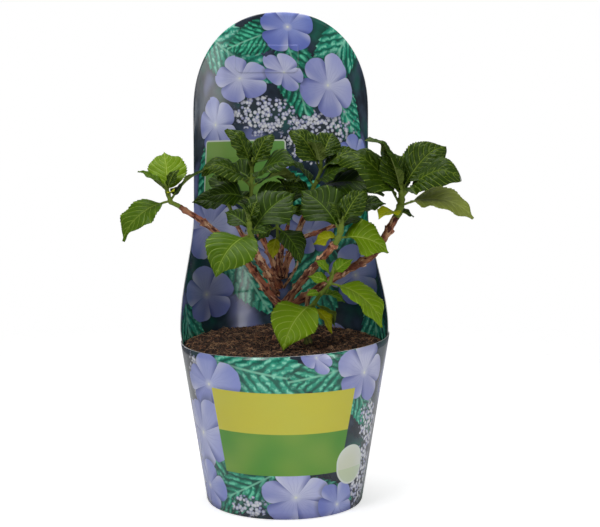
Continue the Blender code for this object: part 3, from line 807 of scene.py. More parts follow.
@dataclass(frozen=True)
class PrintFinish:
    """The sleeve's glossy print: blossoms, toothed leaves and florets on a dark ground, with bare labels."""

    name: str
    spots: tuple[Spot, ...]
    labels: tuple[Label, ...]

    def material(self, effects: Effects) -> bpy.types.Material:
        """The finish as a material that reads the panel's own map, in metres across and up.

        Args:
            effects: The shared shader groups.

        Returns:
            The material.
        """
        made, g, shader = new_material(self.name, 0.2)
        shader.inputs["Coat Weight"].default_value = 0.3
        shader.inputs["Coat Roughness"].default_value = 0.12
        place = g.node("ShaderNodeUVMap", uv_map="print").outputs[0]
        warp = g.noise(place, 26.0, detail=3.0)
        grain = g.math("SUBTRACT", warp, 0.5)
        fine = g.math("SUBTRACT", g.noise(place, 110.0, detail=3.0), 0.5)
        both = g.math("ADD", grain, g.math("MULTIPLY", fine, 0.7))
        beads = g.cells(place, 240.0)
        bead_tone = g.split(beads.outputs["Color"])[1]
        slate = g.blend(g.ease(warp, 0.35, 0.68), hue(28, 38, 52), hue(60, 78, 98))
        colour = g.blend(g.ease(g.noise(place, 11.0), 0.48, 0.64, 0.0, 0.8), slate, hue(22, 112, 92))
        far_blooms = g.noise(g.vector("ADD", place, (3.7, 1.9, 0.0)), 13.0, detail=1.0)
        colour = g.blend(g.ease(far_blooms, 0.54, 0.64, 0.0, 0.85), colour, hue(134, 142, 202))
        for spot in self.spots:
            inputs = {
                "Place": place, "Under": colour, "Centre": (spot.across * MM, spot.up * MM, 0.0),
                "Size": spot.size * MM, "Turn": math.radians(spot.turn), "Squeeze": spot.squeeze,
                "Tone": spot.tone, "Grain": grain if spot.motif is Motif.BLOOM else both,
            }
            if spot.motif is Motif.FLORETS:
                inputs |= {"Bead": beads.outputs["Distance"], "Bead Tone": bead_tone}
            colour = g.group(getattr(effects, spot.motif.value), inputs).outputs["Colour"]
        for label in self.labels:
            colour = self.lay_label(g, effects, place, colour, label)
        g.put(shader.inputs["Base Color"], colour)
        g.put(shader.inputs["Roughness"], g.ease(g.noise(place, 40.0), 0.3, 0.7, 0.17, 0.25))
        bump(g, shader, g.noise(place, 22.0, detail=1.0), 0.5 * MM)
        return made

    def lay_label(self, g: Graph, effects: Effects, place: Socket, under: Socket, label: Label) -> Socket:
        """Prints one bare label over the rest.

        Args:
            g: The material's graph.
            effects: The shared shader groups.
            place: The place on the panel.
            under: The colour underneath.
            label: The label.

        Returns:
            The colour with the label on it.
        """
        panel = g.group(effects.panel, {
            "Place": place, "Centre": (label.across * MM, label.up * MM, 0.0),
            "Half Width": label.half_width * MM, "Half Height": label.half_height * MM,
            "Lean": label.lean, "Corner": label.corner * MM,
        })
        distance = panel.outputs["Distance"]
        _, up, _ = g.split(place)
        edge = 0.3 * MM
        share = g.ease(up, label.boundary * MM - edge, label.boundary * MM + edge)
        wash = g.ease(g.noise(place, 14.0, detail=1.0), 0.35, 0.65, 0.0, 0.22)
        face = g.blend(wash, g.blend(share, label.lower, label.upper), hue(206, 214, 92))
        if label.outline > 0.0:
            rim = label.outline * MM
            face = g.blend(g.ease(distance, -rim - edge, -rim + edge), face, hue(236, 244, 232))
        return g.blend(g.ease(distance, -edge, edge, 1.0, 0.0), under, face)


# Sleeve

class Face(Enum):
    """The two sides of a sheet."""

    OUTER = 1
    INNER = -1


@dataclass
class Sleeve:
    """The printed sleeve: a flared wrap, cut off at the front and carried up into a tall round-topped back."""

    foot_radius: float = 86.8 * MM
    rim_radius: float = 115.8 * MM
    foot_height: float = 0.5 * MM
    rim_height: float = 186.0 * MM
    rim_slope: float = 0.042
    wall: float = 0.8 * MM
    back_half_width: float = 101.5 * MM
    back_shift: float = -4.0 * MM
    shoulder_height: float = 432.0 * MM
    top_height: float = 549.0 * MM
    arch_power: float = 2.25
    narrows: tuple[float, float] = (200.0 * MM, 320.0 * MM)
    unrolls: tuple[float, float] = (186.0 * MM, 330.0 * MM)
    edge_depth: float = 85.0 * MM
    edge_lean: float = 15.0 * MM
    middle_depth: float = 12.0 * MM
    crease_height: float = 219.0 * MM
    crease_width: float = 1.6 * MM
    crease_depth: float = 0.5 * MM
    overlap: float = math.radians(4.0)
    overlap_eases: float = math.radians(12.0)
    columns: int = 96
    wrap_rows: int = 22
    board_rows: int = 74
    flap_low: tuple[float, float] = (-57.5 * MM, 478.0 * MM)
    flap_high: tuple[float, float] = (17.0 * MM, 511.0 * MM)
    flap_corner: float = 7.0 * MM
    flap_proud: float = 0.35 * MM
    pieces: list[bpy.types.Object] = field(default_factory=list)

    def wrap_radius(self, height: float | Array) -> float | Array:
        """The wrap's radius at a height."""
        share = (height - self.foot_height) / (self.rim_height - self.foot_height)
        return mixed(self.foot_radius, self.rim_radius, share)

    def rim_at(self, angle: Array) -> Array:
        """The height of the cut edge, a little higher at the right."""
        return self.rim_height + self.rim_slope * self.rim_radius * np.sin(angle)

    def top_at(self, angle: Array) -> Array:
        """The height of the arched top."""
        across = np.minimum(np.abs(np.sin(angle)), 1.0)
        arch = (1.0 - across ** self.arch_power) ** (1.0 / self.arch_power)
        return mixed(self.shoulder_height, self.top_height, arch)

    def wrap_points(self, angle: Array, height: Array) -> Array:
        """Points of the wrap. Angles turn from +Y towards +X."""
        radius = self.wrap_radius(height)
        return np.stack([radius * np.sin(angle), radius * np.cos(angle), height + 0.0 * angle], -1)

    def back_points(self, angle: Array, height: Array) -> Array:
        """Points of the back, which opens from the round of the wrap to a shallow curve.

        Args:
            angle: Angles from +Y towards +X.
            height: Heights above the floor.

        Returns:
            One point for each pair.
        """
        narrow = smooth_share(height, *self.narrows)
        flat = smooth_share(height, *self.unrolls)
        rise = np.maximum(height - self.rim_height, 0.0) / (self.top_height - self.rim_height)
        radius = self.wrap_radius(np.minimum(height, self.rim_height + self.rim_slope * self.rim_radius))
        half_width = mixed(radius, self.back_half_width, narrow)
        edge = self.edge_depth * flat + self.edge_lean * rise
        middle = radius + self.middle_depth * np.sqrt(rise)
        bow = mixed(np.cos(angle), np.cos(angle) ** 2, flat)
        fold = self.crease_depth * np.exp(-((height - self.crease_height) / self.crease_width) ** 2)
        return np.stack([half_width * np.sin(angle) + self.back_shift * flat,
                         mixed(edge, middle, bow) + fold * flat ** 0.3, height + 0.0 * angle], -1)

    def back_sheet(self) -> tuple[Array, Array]:
        """The back panel's middle surface, and how far up it each row is.

        Returns:
            A grid of points, row by row upwards, and the print's map on it.
        """
        angle = np.linspace(-0.5, 0.5, self.columns + 1) * np.pi
        crease = self.crease_height + self.crease_width * np.array([-2.0, -1.0, 0.0, 1.0, 2.0])
        rows = [self.wrap_points(angle, mixed(self.foot_height, self.rim_at(angle), row / self.wrap_rows))
                for row in range(self.wrap_rows + 1)]
        below = self.rim_at(angle)
        for row in range(1, 6):
            rows.append(self.back_points(angle, mixed(below, crease[0], row / 6)))
        rows += [self.back_points(angle, height + 0.0 * angle) for height in crease]
        for row in range(1, self.board_rows + 1):
            rows.append(self.back_points(angle, mixed(crease[-1], self.top_at(angle), row / self.board_rows)))
        grid = np.array(rows)
        return grid, self.print_map(grid, self.columns // 2)

    def front_sheet(self) -> tuple[Array, Array]:
        """The front panel's middle surface, which laps over the back panel's sides, and its print's map.

        Returns:
            A grid of points, row by row upwards, and the print's map on it.
        """
        angle = np.linspace(1.5 * np.pi + self.overlap, 0.5 * np.pi - self.overlap, self.columns + 1)
        rows = [self.wrap_points(angle, mixed(self.foot_height, self.rim_at(angle), row / self.wrap_rows))
                for row in range(self.wrap_rows + 1)]
        grid = np.array(rows)
        inside = np.minimum(angle[0] - angle, angle - angle[-1])
        proud = 1.25 * self.wall * (1.0 - smooth_share(inside, self.overlap, self.overlap + self.overlap_eases))
        outward = unit(grid * np.array([1.0, 1.0, 0.0]))
        grid = grid + outward * proud[None, :, None]
        return grid, self.print_map(grid, self.columns // 2)

    @staticmethod
    def print_map(grid: Array, middle: int) -> Array:
        """How far each point lies across the panel from its middle column, and how high it is."""
        steps = np.linalg.norm(np.diff(grid, axis=1), axis=2)
        across = np.concatenate([np.zeros((len(grid), 1)), np.cumsum(steps, axis=1)], axis=1)
        return np.stack([across - across[:, middle:middle + 1], grid[:, :, 2]], -1)

    def shell(self, name: str, grid: Array, prints: Array, outward: int) -> bpy.types.Mesh:
        """Gives a panel its wall, with a map for the print and one for baking.

        Args:
            name: The mesh's name.
            grid: The middle surface, row by row.
            prints: The print's map on the grid.
            outward: 1 where rows upwards crossed with columns point out of the sleeve, else -1.

        Returns:
            A closed mesh whose faces carry 0 for the print and 1 for a cut edge.
        """
        rows, columns, _ = grid.shape
        normal = unit(np.cross(np.gradient(grid, axis=1), np.gradient(grid, axis=0))) * outward
        outer = (grid + normal * self.wall / 2).reshape(-1, 3)
        inner = (grid - normal * self.wall / 2).reshape(-1, 3)
        count = rows * columns
        faces = grid_faces(rows, columns)
        if outward < 0:
            faces = faces[:, ::-1]
        number = np.arange(count).reshape(rows, columns)
        loop = np.concatenate([number[0], number[1:, -1], number[-1, -2::-1], number[-2:0:-1, 0]])
        after = np.roll(loop, -1)
        rim = np.stack([after, loop, loop + count, after + count], -1)
        if outward < 0:
            rim = rim[:, ::-1]
        mesh = mesh_of(name, np.concatenate([outer, inner]), [faces, faces[:, ::-1] + count, rim])
        marks = np.concatenate([np.zeros(2 * len(faces)), np.ones(len(rim))]).astype(np.int32)
        mesh.polygons.foreach_set("material_index", marks)
        mesh.shade_smooth()
        mesh.polygons.foreach_set("use_smooth", marks == 0)
        self.map_print(mesh, prints, count)
        self.map_bake(mesh, prints, len(faces), count)
        return mesh

    @staticmethod
    def map_print(mesh: bpy.types.Mesh, prints: Array, count: int) -> None:
        """Puts the print's map on a panel's mesh."""
        vertex = np.zeros(len(mesh.loops), np.int32)
        mesh.loops.foreach_get("vertex_index", vertex)
        layer = mesh.uv_layers.new(name="print")
        layer.uv.foreach_set("vector", prints.reshape(-1, 2)[vertex % count].astype(np.float32).ravel())

    @staticmethod
    def map_bake(mesh: bpy.types.Mesh, prints: Array, sheet_faces: int, count: int) -> None:
        """Puts a map on a panel's mesh in which its two sides and its rim lie apart."""
        vertex = np.zeros(len(mesh.loops), np.int32)
        mesh.loops.foreach_get("vertex_index", vertex)
        flat = prints.reshape(-1, 2)
        low, high = flat.min(0), flat.max(0)
        share = (flat - low) / (high - low)
        where = share[vertex % count] * np.array([0.485, 0.97]) + np.array([0.0, 0.0])
        side = np.repeat([0.005, 0.505], sheet_faces * 4)
        rim = len(vertex) - len(side)
        where[:len(side), 0] += side
        where[:len(side), 1] += 0.005
        edges = rim // 4
        start = np.arange(edges) / edges
        stop = (np.arange(edges) + 1) / edges
        strip = np.stack([np.stack([stop, start, start, stop], -1),
                          np.tile([0.985, 0.985, 0.995, 0.995], (edges, 1))], -1).reshape(-1, 2)
        where[len(side):] = strip
        layer = mesh.uv_layers.new(name="OFBake")
        layer.uv.foreach_set("vector", where.astype(np.float32).ravel())

    def flap_mesh(self) -> bpy.types.Mesh:
        """The scored handle flap, a rounded rectangle a little proud of the back's inner face.

        Returns:
            A closed thin mesh with the print's map.
        """
        rows, columns = 18, 34
        low, high = np.array(self.flap_low), np.array(self.flap_high)
        up = np.linspace(0.0, 1.0, rows)
        across = np.linspace(-1.0, 1.0, columns)
        half = (high[0] - low[0]) / 2
        middle = (high[0] + low[0]) / 2
        height = mixed(low[1], high[1], up)
        drop = np.clip((low[1] + self.flap_corner - height) / self.flap_corner, 0.0, 1.0)
        inset = self.flap_corner * (1.0 - np.sqrt(1.0 - drop ** 2 * 0.98))
        x = middle + across[None, :] * (half - inset)[:, None]
        flat = smooth_share(height, *self.unrolls)[:, None]
        sine = np.clip((x - self.back_shift * flat) / self.back_half_width, -1.0, 1.0)
        angle = np.arcsin(sine)
        grid = self.back_points(angle, height[:, None] + 0.0 * angle)
        arc = self.back_half_width * angle
        prints = np.stack([self.arc_across(angle, height), grid[:, :, 2] + 0.0 * arc], -1)
        prints[..., 1] += 1.2 * MM
        grid = grid - np.array([0.0, self.wall / 2 + self.flap_proud / 2, 0.0])
        keep, self.wall = self.wall, self.flap_proud
        mesh = self.shell("handle_flap", grid, prints, 1)
        self.wall = keep
        return mesh

    def arc_across(self, angle: Array, height: Array) -> Array:
        """How far across the back each angle lies, measured along the sheet."""
        fine = np.linspace(-0.5, 0.5, 361) * np.pi
        arcs = []
        for row, level in zip(angle, height):
            points = self.back_points(fine, level + 0.0 * fine)
            run = run_lengths(points)
            arcs.append(np.interp(row, fine, run - run[180]))
        return np.array(arcs)

    def build(self, back: bpy.types.Material, front: bpy.types.Material, edge: bpy.types.Material) -> None:
        """Builds the two panels and the handle flap.

        Args:
            back: The back panel's print.
            front: The front panel's print.
            edge: The white of a cut edge.
        """
        grid, prints = self.back_sheet()
        made = add_piece("sleeve_back", self.shell("sleeve_back", grid, prints, -1), (back, edge))
        hand_over(made, "sleeve_print", "sleeve")
        grid, prints = self.front_sheet()
        made = add_piece("sleeve_front", self.shell("sleeve_front", grid, prints, -1), (front, edge))
        hand_over(made, "sleeve_print", "sleeve")
        made = add_piece("sleeve_handle_flap", self.flap_mesh(), (back, edge))
        hand_over(made, "sleeve_print")


# Peat

@dataclass
class PeatBed:
    """The peat's uneven surface with crumbs and fibres strewn over it."""

    height: float = 181.0 * MM
    shoulder_height: float = 177.0 * MM
    shoulder_radius: float = 100.0 * MM
    edge_radius: float = 113.2 * MM
    foot_radius: float = 80.0 * MM
    bottom: float = 150.0 * MM
    rings: int = 88
    spokes: int = 220
    crumbs_per_area: float = 90000.0
    fibres_per_area: float = 85000.0
    strewn_radius: float = 109.0 * MM

    def relief(self, x: float, y: float) -> float:
        """The bed's height above its mean at one place."""
        broad = noise.noise(Vector((x * 38.0, y * 38.0, 1.7)))
        lumps = noise.noise(Vector((x * 130.0, y * 130.0, 5.1)))
        fine = noise.noise(Vector((x * 420.0, y * 420.0, 9.3)))
        return (1.8 * broad + 2.0 * lumps + 1.1 * fine) * MM

    def bed_mesh(self) -> bpy.types.Mesh:
        """The bed as a closed mesh with a plain underside.

        Returns:
            The mesh.
        """
        turn = 2.0 * np.pi * np.arange(self.spokes) / self.spokes
        rows = []
        for ring in range(self.rings + 1):
            radius = self.edge_radius * (1.0 - ring / self.rings) + 0.05 * MM
            fall = float(smooth_share(radius, self.shoulder_radius, self.edge_radius))
            level = mixed(self.height, self.shoulder_height, fall)
            x, y = radius * np.sin(turn), radius * np.cos(turn)
            lift = np.array([self.relief(px, py) for px, py in zip(x, y)])
            rows.append(np.stack([x, y, level + lift], -1))
        foot = np.stack([self.foot_radius * np.sin(turn), self.foot_radius * np.cos(turn),
                         np.full(self.spokes, self.bottom)], -1)
        middle = foot * np.array([0.01, 0.01, 1.0])
        grid = np.array([middle, foot, *rows])
        mesh = mesh_of("peat_bed", grid.reshape(-1, 3), [grid_faces(len(grid), self.spokes, closed=True)])
        mesh.flip_normals()
        mesh.shade_smooth()
        return mesh

    def crumb(self) -> bpy.types.Object:
        """One rough crumb of unit size."""
        turn = np.arange(6) * np.pi / 3
        rows = [(0.05, -0.5), (0.42, -0.32), (0.5, 0.05), (0.36, 0.34), (0.05, 0.5)]
        dice = np.random.default_rng(5)
        grid = [np.stack([radius * np.cos(turn), radius * np.sin(turn), np.full(6, level)], -1)
                for radius, level in rows]
        points = np.array(grid).reshape(-1, 3) + dice.uniform(-0.1, 0.1, (30, 3))
        return add_piece("crumb", mesh_of("crumb", points, [grid_faces(5, 6, closed=True)]))

    def fibre(self) -> bpy.types.Object:
        """One bent fibre of unit length."""
        share = np.linspace(0.0, 1.0, 5)
        path = np.stack([share - 0.5, 0.14 * np.sin(share * 5.0), 0.2 * np.sin(share * np.pi)], -1)
        points, quads = tube(path, np.array([0.01, 0.022, 0.026, 0.02, 0.008]), 3)
        return add_piece("fibre", mesh_of("fibre", points, [quads]))

    def strew(self, bed: bpy.types.Object, name: str, scrap: bpy.types.Object, density: float,
              sizes: tuple[float, float], tilt: float, seed: int,
              material: bpy.types.Material) -> bpy.types.Object:
        """Strews copies of a scrap over the bed, as one plain mesh.

        Args:
            bed: The bed's object.
            name: The new piece's name.
            scrap: The shape to strew.
            density: Scraps for each square metre.
            sizes: The least and most size.
            tilt: The most that a scrap tilts, in radians.
            seed: The seed of the places.
            material: The scraps' finish.

        Returns:
            The piece.
        """
        tree = strewing_tree()
        holder = add_piece(name, bed.data.copy())
        holder.data.materials.clear()
        modifier = holder.modifiers.new("strew", "NODES")
        modifier.node_group = tree
        inputs = {"Scrap": scrap, "Density": density, "Least Size": sizes[0], "Most Size": sizes[1],
                  "Tilt": tilt, "Seed": seed, "Lowest": self.bottom + 20.0 * MM,
                  "Furthest": self.strewn_radius, "Finish": material}
        for item in tree.interface.items_tree:
            if item.in_out == "INPUT" and item.name in inputs:
                modifier[item.identifier] = inputs[item.name]
        applied(holder)
        return holder

    def build(self, peat: bpy.types.Material, fibre: bpy.types.Material) -> None:
        """Builds the bed and what lies on it.

        Args:
            peat: The finish of the bed and its crumbs.
            fibre: The finish of the fibres.
        """
        bed = add_piece("peat_bed", self.bed_mesh(), (peat,))
        crumb, thread = self.crumb(), self.fibre()
        crumbs = self.strew(bed, "peat_crumbs", crumb, self.crumbs_per_area, (1.0 * MM, 3.8 * MM), 3.0, 3, peat)
        fibres = self.strew(bed, "peat_fibres", thread, self.fibres_per_area, (3.0 * MM, 10.0 * MM), 0.7, 8, fibre)
        for scrap in (crumb, thread):
            bpy.data.objects.remove(scrap, do_unlink=True)
        hand_over(bed, "peat", "soil")
        hand_over(crumbs, "peat")
        hand_over(fibres, "peat")


def strewing_tree() -> bpy.types.NodeTree:
    """The Geometry Nodes tree that strews copies of a scrap over a surface.

    Returns:
        The tree, built once.
    """
    name = "strew_scraps"
    if name in bpy.data.node_groups:
        return bpy.data.node_groups[name]
    tree = bpy.data.node_groups.new(name, "GeometryNodeTree")
    tree.interface.new_socket("Surface", in_out="INPUT", socket_type="NodeSocketGeometry")
    for label, kind in (("Scrap", "Object"), ("Density", "Float"), ("Least Size", "Float"),
                        ("Most Size", "Float"), ("Tilt", "Float"), ("Lowest", "Float"),
                        ("Furthest", "Float"), ("Seed", "Int"), ("Finish", "Material")):
        tree.interface.new_socket(label, in_out="INPUT", socket_type="NodeSocket" + kind)
    tree.interface.new_socket("Scraps", in_out="OUTPUT", socket_type="NodeSocketGeometry")
    g = Graph(tree)
    given, out = tree.nodes.new("NodeGroupInput"), tree.nodes.new("NodeGroupOutput")
    x, y, z = g.split(g.node("GeometryNodeInputPosition").outputs[0])
    radius = g.vector("LENGTH", g.join(x, y, 0.0))
    above = g.node("FunctionNodeCompare", {0: z, 1: given.outputs["Lowest"]}, operation="GREATER_THAN")
    within = g.node("FunctionNodeCompare", {0: radius, 1: given.outputs["Furthest"]}, operation="LESS_THAN")
    high = g.node("FunctionNodeBooleanMath", {0: above.outputs[0], 1: within.outputs[0]}, operation="AND")
    points = g.node("GeometryNodeDistributePointsOnFaces", {
        "Mesh": given.outputs["Surface"], "Selection": high.outputs[0], "Density": given.outputs["Density"],
        "Seed": given.outputs["Seed"]})
    size = g.node("FunctionNodeRandomValue", {2: given.outputs["Least Size"], 3: given.outputs["Most Size"],
                                              "Seed": given.outputs["Seed"]})
    lean = g.math("MULTIPLY", given.outputs["Tilt"], -1.0)
    low = g.join(lean, lean, 0.0)
    most = g.join(given.outputs["Tilt"], given.outputs["Tilt"], 2.0 * math.pi)
    turn = g.node("FunctionNodeRandomValue", {0: low, 1: most, "Seed": given.outputs["Seed"]},
                  data_type="FLOAT_VECTOR")
    scrap = g.node("GeometryNodeObjectInfo", {"Object": given.outputs["Scrap"]})
    copies = g.node("GeometryNodeInstanceOnPoints", {
        "Points": points.outputs[0], "Instance": scrap.outputs["Geometry"], "Rotation": turn.outputs[0],
        "Scale": size.outputs[1]})
    real = g.node("GeometryNodeRealizeInstances", {0: copies.outputs[0]})
    painted = g.node("GeometryNodeSetMaterial", {"Geometry": real.outputs[0], "Material": given.outputs["Finish"]})
    g.put(out.inputs[0], painted.outputs[0])
    return tree


# Limbs

class Wood(Enum):
    """The kinds of wood: their slot in the record."""

    BARK = "bark"
    TAN = "tan_bark"
    GREEN = "green_bark"


@dataclass(frozen=True)
class Limb:
    """One limb: its node, wood, radii at foot and tip, and its path, in millimetres."""

    name: str
    wood: Wood
    foot_radius: float
    tip_radius: float
    points: tuple[tuple[float, float, float], ...]


FOOT = 181.3
LIMBS = (
    Limb("trunk", Wood.BARK, 12.0, 10.0, ((4, 6, FOOT), (4, 6, 187), (-1, 7, 207), (-6, 9, 232), (-6, 10, 263))),
    Limb("bough_far_left", Wood.BARK, 4.8, 3.1,
         ((-6, 2, 222), (-18, 0, 237), (-42, -10, 272), (-79, -25, 311), (-114, -30, 336))),
    Limb("bough_right", Wood.BARK, 4.8, 4.2, ((0, 0, 222), (17, -10, 248), (39, -35, 277), (55, -50, 298))),
    Limb("bough_far_right", Wood.BARK, 5.0, 4.6,
         ((0, 12, 216), (29, 20, 232), (63, 18, 255), (83, 10, 267), (100, 0, 280), (113, -5, 302),
          (124, -10, 323))),
    Limb("bough_front_left", Wood.BARK, 5.2, 4.2,
         ((-6, 6, 243), (-20, -15, 264), (-32, -45, 288), (-35, -60, 295))),
    Limb("bough_upper_right", Wood.BARK, 4.4, 3.4, ((-3, 11, 252), (7, 18, 279), (18, 20, 309), (27, 20, 332))),
    Limb("bough_upper_left", Wood.BARK, 4.2, 3.2,
         ((-8, 11, 256), (-18, 12, 283), (-32, 18, 310), (-37, 20, 332))),
    Limb("bough_centre", Wood.BARK, 3.4, 2.6, ((-6, 6, 256), (-7, -5, 279), (-7, -15, 294))),
    Limb("bough_back_left", Wood.BARK, 3.6, 2.5,
         ((-8, 12, 232), (-25, 34, 262), (-50, 42, 300), (-60, 45, 322))),
    Limb("bough_back_right", Wood.BARK, 2.9, 2.4, ((13, 20, 294), (34, 34, 299), (55, 44, 306), (69, 50, 316))),
    Limb("bough_back", Wood.BARK, 3.4, 2.4, ((-5, 13, 250), (-3, 32, 280), (4, 45, 307))),
    Limb("stem_low_right", Wood.GREEN, 3.6, 2.8, ((26, -22, FOOT), (26, -22, 190), (28, -26, 218))),
    Limb("cut_stub", Wood.TAN, 3.4, 2.6, ((22, -6, FOOT), (22, -6, 190), (25, -8, 220), (28, -9, 242))),
    Limb("dead_twig", Wood.TAN, 1.8, 1.2, ((-1, 3, 241), (8, -3, 256), (14, -3, 268), (15, -3, 280))),
)


@dataclass
class Framework:
    """The trunk, boughs and stems with their bark."""

    step: float = 1.2 * MM
    sides: int = 28
    knuckle_spacing: float = 26.0 * MM
    knuckle_swell: float = 0.16
    knuckle_sharpness: int = 3
    flare_height: float = 14.0 * MM
    flare_swell: float = 0.4
    foot_height: float = 181.0 * MM
    scar_swell: float = 0.16
    scar_width: float = 1.6 * MM
    voxel: float = 0.75 * MM
    relief: float = 0.24 * MM
    knobs: float = 1.2 * MM
    grain_across: float = 420.0
    grain_along: float = 110.0

    def radii(self, limb: Limb, path: Array) -> Array:
        """The limb's radius along its path: the solids' rule, with a sharper scar at each knuckle.

        Args:
            limb: The limb.
            path: Its path.

        Returns:
            A radius for each point.
        """
        run = run_lengths(path)
        radius = mixed(limb.foot_radius, limb.tip_radius, run / run[-1]) * MM
        knuckle = 0.5 + 0.5 * np.cos(2.0 * np.pi * run / self.knuckle_spacing)
        radius = radius * (1.0 + self.knuckle_swell * (knuckle ** self.knuckle_sharpness - 0.5))
        nearest = np.abs((run + self.knuckle_spacing / 2) % self.knuckle_spacing - self.knuckle_spacing / 2)
        scar = np.exp(-(nearest / self.scar_width) ** 2) - 0.5 * np.exp(-((nearest - 3 * MM) / self.scar_width) ** 2)
        radius = radius * (1.0 + self.scar_swell * scar * (run > 8 * MM))
        if path[0][2] - self.foot_height < 2 * GAP:
            rise = path[:, 2] - self.foot_height
            radius = radius * (1.0 + self.flare_swell * (1.0 - smooth_share(rise, 0.0, self.flare_height)))
        return radius

    def buds(self, path: Array, radii: Array) -> list[tuple[Array, Array]]:
        """Resting buds in opposite pairs at a limb's knuckles."""
        run = run_lengths(path)
        ahead, side, up = frames_along(path)
        made = []
        for number in range(1, int(run[-1] / self.knuckle_spacing) + 1):
            k = int(np.searchsorted(run, number * self.knuckle_spacing))
            if k >= len(path) - 3:
                continue
            out = side[k] if number % 2 else up[k]
            for sign in (1.0, -1.0):
                root = path[k] + out * sign * radii[k] * 0.7
                tip = root + (ahead[k] * 0.85 + out * sign * 0.75) * 3.4 * MM
                share = np.linspace(0.0, 1.0, 7)
                line = root[None] + (tip - root)[None] * share[:, None]
                made.append(tube(line, 1.25 * MM * np.sin(np.pi * (0.2 + 0.78 * share)) ** 0.8, 10))
        return made

    def wood_mesh(self, name: str, limbs: Sequence[Limb]) -> bpy.types.Mesh:
        """The limbs of one kind of wood, grown into each other, with the bark's relief.

        Args:
            name: The mesh's name.
            limbs: The limbs.

        Returns:
            The mesh, with the bark's own place and relief kept as attributes.
        """
        heap = MeshHeap()
        tracks = []
        for number, limb in enumerate(limbs):
            path = smooth_path(np.array(limb.points) * MM, self.step)
            radii = self.radii(limb, path)
            heap.add(*tube(path, radii, self.sides))
            if limb.wood is Wood.BARK:
                for shape in self.buds(path, radii):
                    heap.add(*shape)
            tracks.append((path, radii, number))
        holder = add_piece(name, heap.mesh(name))
        remesh = holder.modifiers.new("grow", "REMESH")
        remesh.mode = "VOXEL"
        remesh.voxel_size = self.voxel
        remesh.use_smooth_shade = True
        smooth = holder.modifiers.new("soften", "SMOOTH")
        smooth.factor = 0.5
        smooth.iterations = 2
        mesh = applied(holder)
        bpy.data.objects.remove(holder, do_unlink=True)
        self.add_relief(mesh, tracks)
        return mesh

    def add_relief(self, mesh: bpy.types.Mesh, tracks: list[tuple[Array, Array, int]]) -> None:
        """Furrows the bark along the nearest limb.

        Args:
            mesh: The grown mesh.
            tracks: Each limb's path, radii and number.
        """
        points = np.zeros(len(mesh.vertices) * 3)
        normals = np.zeros(len(mesh.vertices) * 3)
        mesh.vertices.foreach_get("co", points)
        mesh.vertex_normals.foreach_get("vector", normals)
        points, normals = points.reshape(-1, 3), normals.reshape(-1, 3)
        path = np.concatenate([track[0] for track in tracks])
        run = np.concatenate([run_lengths(track[0]) for track in tracks])
        number = np.concatenate([np.full(len(track[0]), track[2]) for track in tracks])
        tree = KDTree(len(path))
        for k, place in enumerate(path):
            tree.insert(place, k)
        tree.balance()
        near = np.array([tree.find(point)[1] for point in points])
        offset = points - path[near]
        place = offset * self.grain_across
        ahead = np.concatenate([frames_along(track[0])[0] for track in tracks])[near]
        place -= ahead * np.sum(place * ahead, axis=1)[:, None]
        place += ahead * (run[near] * self.grain_along)[:, None] + number[near][:, None] * 7.3
        relief = np.array([noise.turbulence(Vector(p), 4, False, noise_basis="PERLIN_ORIGINAL") for p in place])
        relief = (relief - relief.mean()) / (2.5 * relief.std()) + 0.5
        relief = np.clip(relief, 0.0, 1.0)
        knob = np.array([noise.noise(Vector(p) * 170.0) for p in points])
        thick = np.clip(np.linalg.norm(offset, axis=1) / (6.0 * MM), 0.4, 1.3)
        moved = points + normals * (((relief - 0.5) * 2.0 * self.relief + knob * self.knobs) * thick)[:, None]
        moved[:, 2] = np.maximum(moved[:, 2], self.foot_height - 1.0 * MM)
        mesh.vertices.foreach_set("co", moved.ravel())
        layer = mesh.attributes.new("bark_place", "FLOAT_VECTOR", "POINT")
        layer.data.foreach_set("vector", place.astype(np.float32).ravel())
        layer = mesh.attributes.new("relief", "FLOAT", "POINT")
        layer.data.foreach_set("value", relief.astype(np.float32))
        mesh.update()

    def build(self, finishes: dict[Wood, bpy.types.Material]) -> None:
        """Builds one piece for each kind of wood.

        Args:
            finishes: The bark of each kind.
        """
        for wood, material in finishes.items():
            limbs = [limb for limb in LIMBS if limb.wood is wood]
            name = "limbs_" + wood.value
            made = add_piece(name, self.wood_mesh(name, limbs), (material,))
            hand_over(made, wood.value, *[limb.name for limb in limbs])


# Leaves

class Tint(Enum):
    """The leaf colours as screen numbers: between the veins, beside them, and the veins."""

    # Painted light: a lighter copy of the leaf green, for leaves that face the lamps.
    SUNLIT = ((116, 150, 12), (126, 158, 24), (172, 196, 84))
    FRESH = ((78, 110, 6), (90, 120, 14), (146, 172, 66))
    # Partly painted shade: the dark green of older leaves, made darker still for leaves that sit in shadow.
    DEEP = ((44, 68, 4), (54, 78, 8), (108, 138, 44))
    RIBBED = ((52, 76, 8), (62, 86, 12), (134, 156, 54))
    YOUNG = ((50, 74, 10), (60, 84, 14), (136, 158, 56))
    # Painted light: a lighter copy of the leaf green, for leaves that face the lamps.
    BRIGHT = ((104, 146, 16), (116, 156, 26), (166, 192, 74))
    LIME = ((172, 178, 14), (180, 186, 24), (200, 204, 72))
    OLIVE = ((138, 150, 66), (146, 158, 74), (172, 184, 104))


UNDERSIDE = (118, 138, 62)
UNDER_VEIN = (152, 168, 96)
TINTS = tuple(Tint)


@dataclass(frozen=True)
class Leaf:
    """One leaf: its reach in millimetres, rise in degrees, face to the light, tint and extra turn in degrees."""

    reach: float
    rise: float
    face: float = 1.0
    tint: Tint = Tint.DEEP
    turn: float = 0.0


@dataclass(frozen=True)
class Pair:
    """Two opposite leaves at a share of the stem, the first one's heading in degrees."""

    share: float
    heading: float
    first: Leaf | None
    second: Leaf | None


@dataclass(frozen=True)
class Shoot:
    """A leafy shoot: its node, its bough, its seed, its radius and stem in millimetres, and its pairs."""

    name: str
    bough: str
    seed: int
    radius: float
    stem: tuple[tuple[float, float, float], ...]
    pairs: tuple[Pair, ...]


